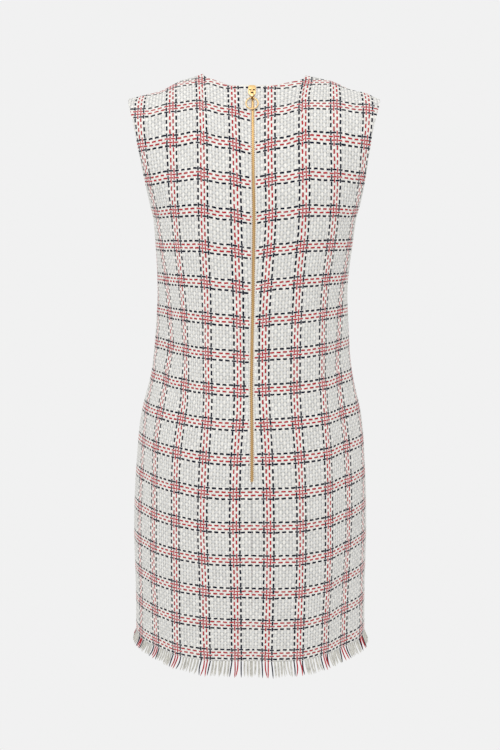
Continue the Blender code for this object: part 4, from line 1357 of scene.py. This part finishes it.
class DRESS_OT_fringe(bpy.types.Operator):
    """Frays the hem of the front and the back pieces"""

    bl_idname = "dress.fray_hem"
    bl_label = "Fray the hem"

    def execute(self, context):
        cloth, fringe = context.scene.dress_cloth, context.scene.dress_fringe
        finishes = [
            loose_yarn_finish("loose_cream_yarn", fringe.cream),
            loose_yarn_finish("loose_red_yarn", cloth.red),
            loose_yarn_finish("loose_navy_yarn", cloth.navy),
        ]
        chance = random.Random(fringe.seed)
        for piece in ("back_left", "back_right", "front"):
            node = "fringe_" + piece
            edge, counts, outs = hem_row(bpy.data.objects[piece + "_tweed"])
            made = make_fringe(node + "_yarns", edge, counts, outs, finishes, chance, fringe)
            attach(made, BODY)
            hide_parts(node)
        return {"FINISHED"}


def hem_row(obj):
    """The points of a piece's hem, with their warp counts and the way out of the cloth."""
    mesh = obj.data
    threads = mesh.uv_layers["threads"].uv
    found = {}
    for loop, uv in zip(mesh.loops, threads):
        if abs(uv.vector.y - HEM_WEFT) < 1e-4:
            found.setdefault(loop.vertex_index, uv.vector.x)
    outside = [k for k in found if k < obj["face_points"]]
    outside.sort(key=found.get)
    edge = np.array([mesh.vertices[k].co[:] for k in outside])
    counts = np.array([found[k] for k in outside])
    along = np.gradient(edge, axis=0)
    outs = np.stack([along[:, 1], -along[:, 0], np.zeros(len(edge))], axis=1)
    outs /= np.linalg.norm(outs, axis=1)[:, None]
    if (outs[:, 1].mean() > 0) != (edge[:, 1].mean() > 0):
        outs = -outs
    return edge, counts, outs


class DRESS_OT_studio(bpy.types.Operator):
    """Sets up the pale floor, the soft lights and the camera"""

    bl_idname = "dress.light_studio"
    bl_label = "Set up the studio"

    def execute(self, context):
        studio = context.scene.dress_studio
        paper, tree, shader = new_material("matt_white_paper")
        # lit from behind, as a light table is, so that it is as even as the background
        shader.inputs["Base Color"].default_value = linear("#000000")
        shader.inputs["Roughness"].default_value = 1.0
        shader.inputs["Specular IOR Level"].default_value = 0.0
        shader.inputs["Emission Color"].default_value = studio.paper
        shader.inputs["Emission Strength"].default_value = 1.0
        bm = bmesh.new()
        bmesh.ops.create_grid(bm, x_segments=1, y_segments=1, size=FLOOR_SIZE)
        bmesh.ops.translate(bm, verts=bm.verts, vec=(0, 0, studio.floor_height))
        floor = object_from(bm, "floor", [paper])
        scene = context.scene
        scene.view_settings.view_transform = "Standard"
        world = bpy.data.worlds.new("studio")
        world.use_nodes = True
        background = world.node_tree.nodes["Background"]
        background.inputs[0].default_value = studio.paper
        background.inputs[1].default_value = studio.light
        scene.world = world
        lamps = (("key_lamp", KEY_PLACE, studio.key), ("fill_lamp", FILL_PLACE, studio.fill))
        for name, place, power in lamps:
            data = bpy.data.lights.new(name, "AREA")
            data.size, data.energy = LAMP_SIZE, power
            lamp = bpy.data.objects.new(name, data)
            lamp.location = place
            aim = Vector(LAMP_AIM) - Vector(place)
            lamp.rotation_euler = aim.to_track_quat("-Z", "Y").to_euler()
            scene.collection.objects.link(lamp)
        data = bpy.data.cameras.new("camera")
        data.sensor_fit = "VERTICAL"
        data.sensor_height = 36.0
        data.lens = CAMERA_LENS
        camera = bpy.data.objects.new("camera", data)
        camera.location = CAMERA_PLACE
        camera.rotation_euler = (math.radians(90 - CAMERA_PITCH), 0, math.pi)
        scene.collection.objects.link(camera)
        scene.camera = camera
        return {"FINISHED"}


class DRESS_PT_panel(bpy.types.Panel):
    """Sizes, colours and steps of the dress"""

    bl_label = "Tweed shift dress"
    bl_idname = "DRESS_PT_panel"
    bl_space_type = "VIEW_3D"
    bl_region_type = "UI"
    bl_category = "Dress"

    def draw(self, context):
        layout = self.layout
        for group, kind in GROUPS.items():
            box = layout.box()
            box.label(text=kind.__name__.replace("Dress", ""))
            for name in kind.__annotations__:
                box.prop(getattr(context.scene, group), name)
        for step in STEPS:
            layout.operator(step.bl_idname)


GROUPS = {
    "dress_cloth": DressCloth,
    "dress_zip": DressZip,
    "dress_fringe": DressFringe,
    "dress_studio": DressStudio,
}
STEPS = (DRESS_OT_back, DRESS_OT_front, DRESS_OT_zip, DRESS_OT_fringe, DRESS_OT_studio)
CLASSES = (*GROUPS.values(), *STEPS, DRESS_PT_panel)


def register():
    for kind in CLASSES:
        bpy.utils.register_class(kind)
    for name, kind in GROUPS.items():
        setattr(bpy.types.Scene, name, PointerProperty(type=kind))


def unregister():
    for name in GROUPS:
        delattr(bpy.types.Scene, name)
    for kind in reversed(CLASSES):
        bpy.utils.unregister_class(kind)


def main():
    register()
    bpy.ops.dress.weave_back()
    bpy.ops.dress.weave_front()
    bpy.ops.dress.make_zip()
    bpy.ops.dress.fray_hem()
    bpy.ops.dress.light_studio()


if __name__ == "__main__":
    main()
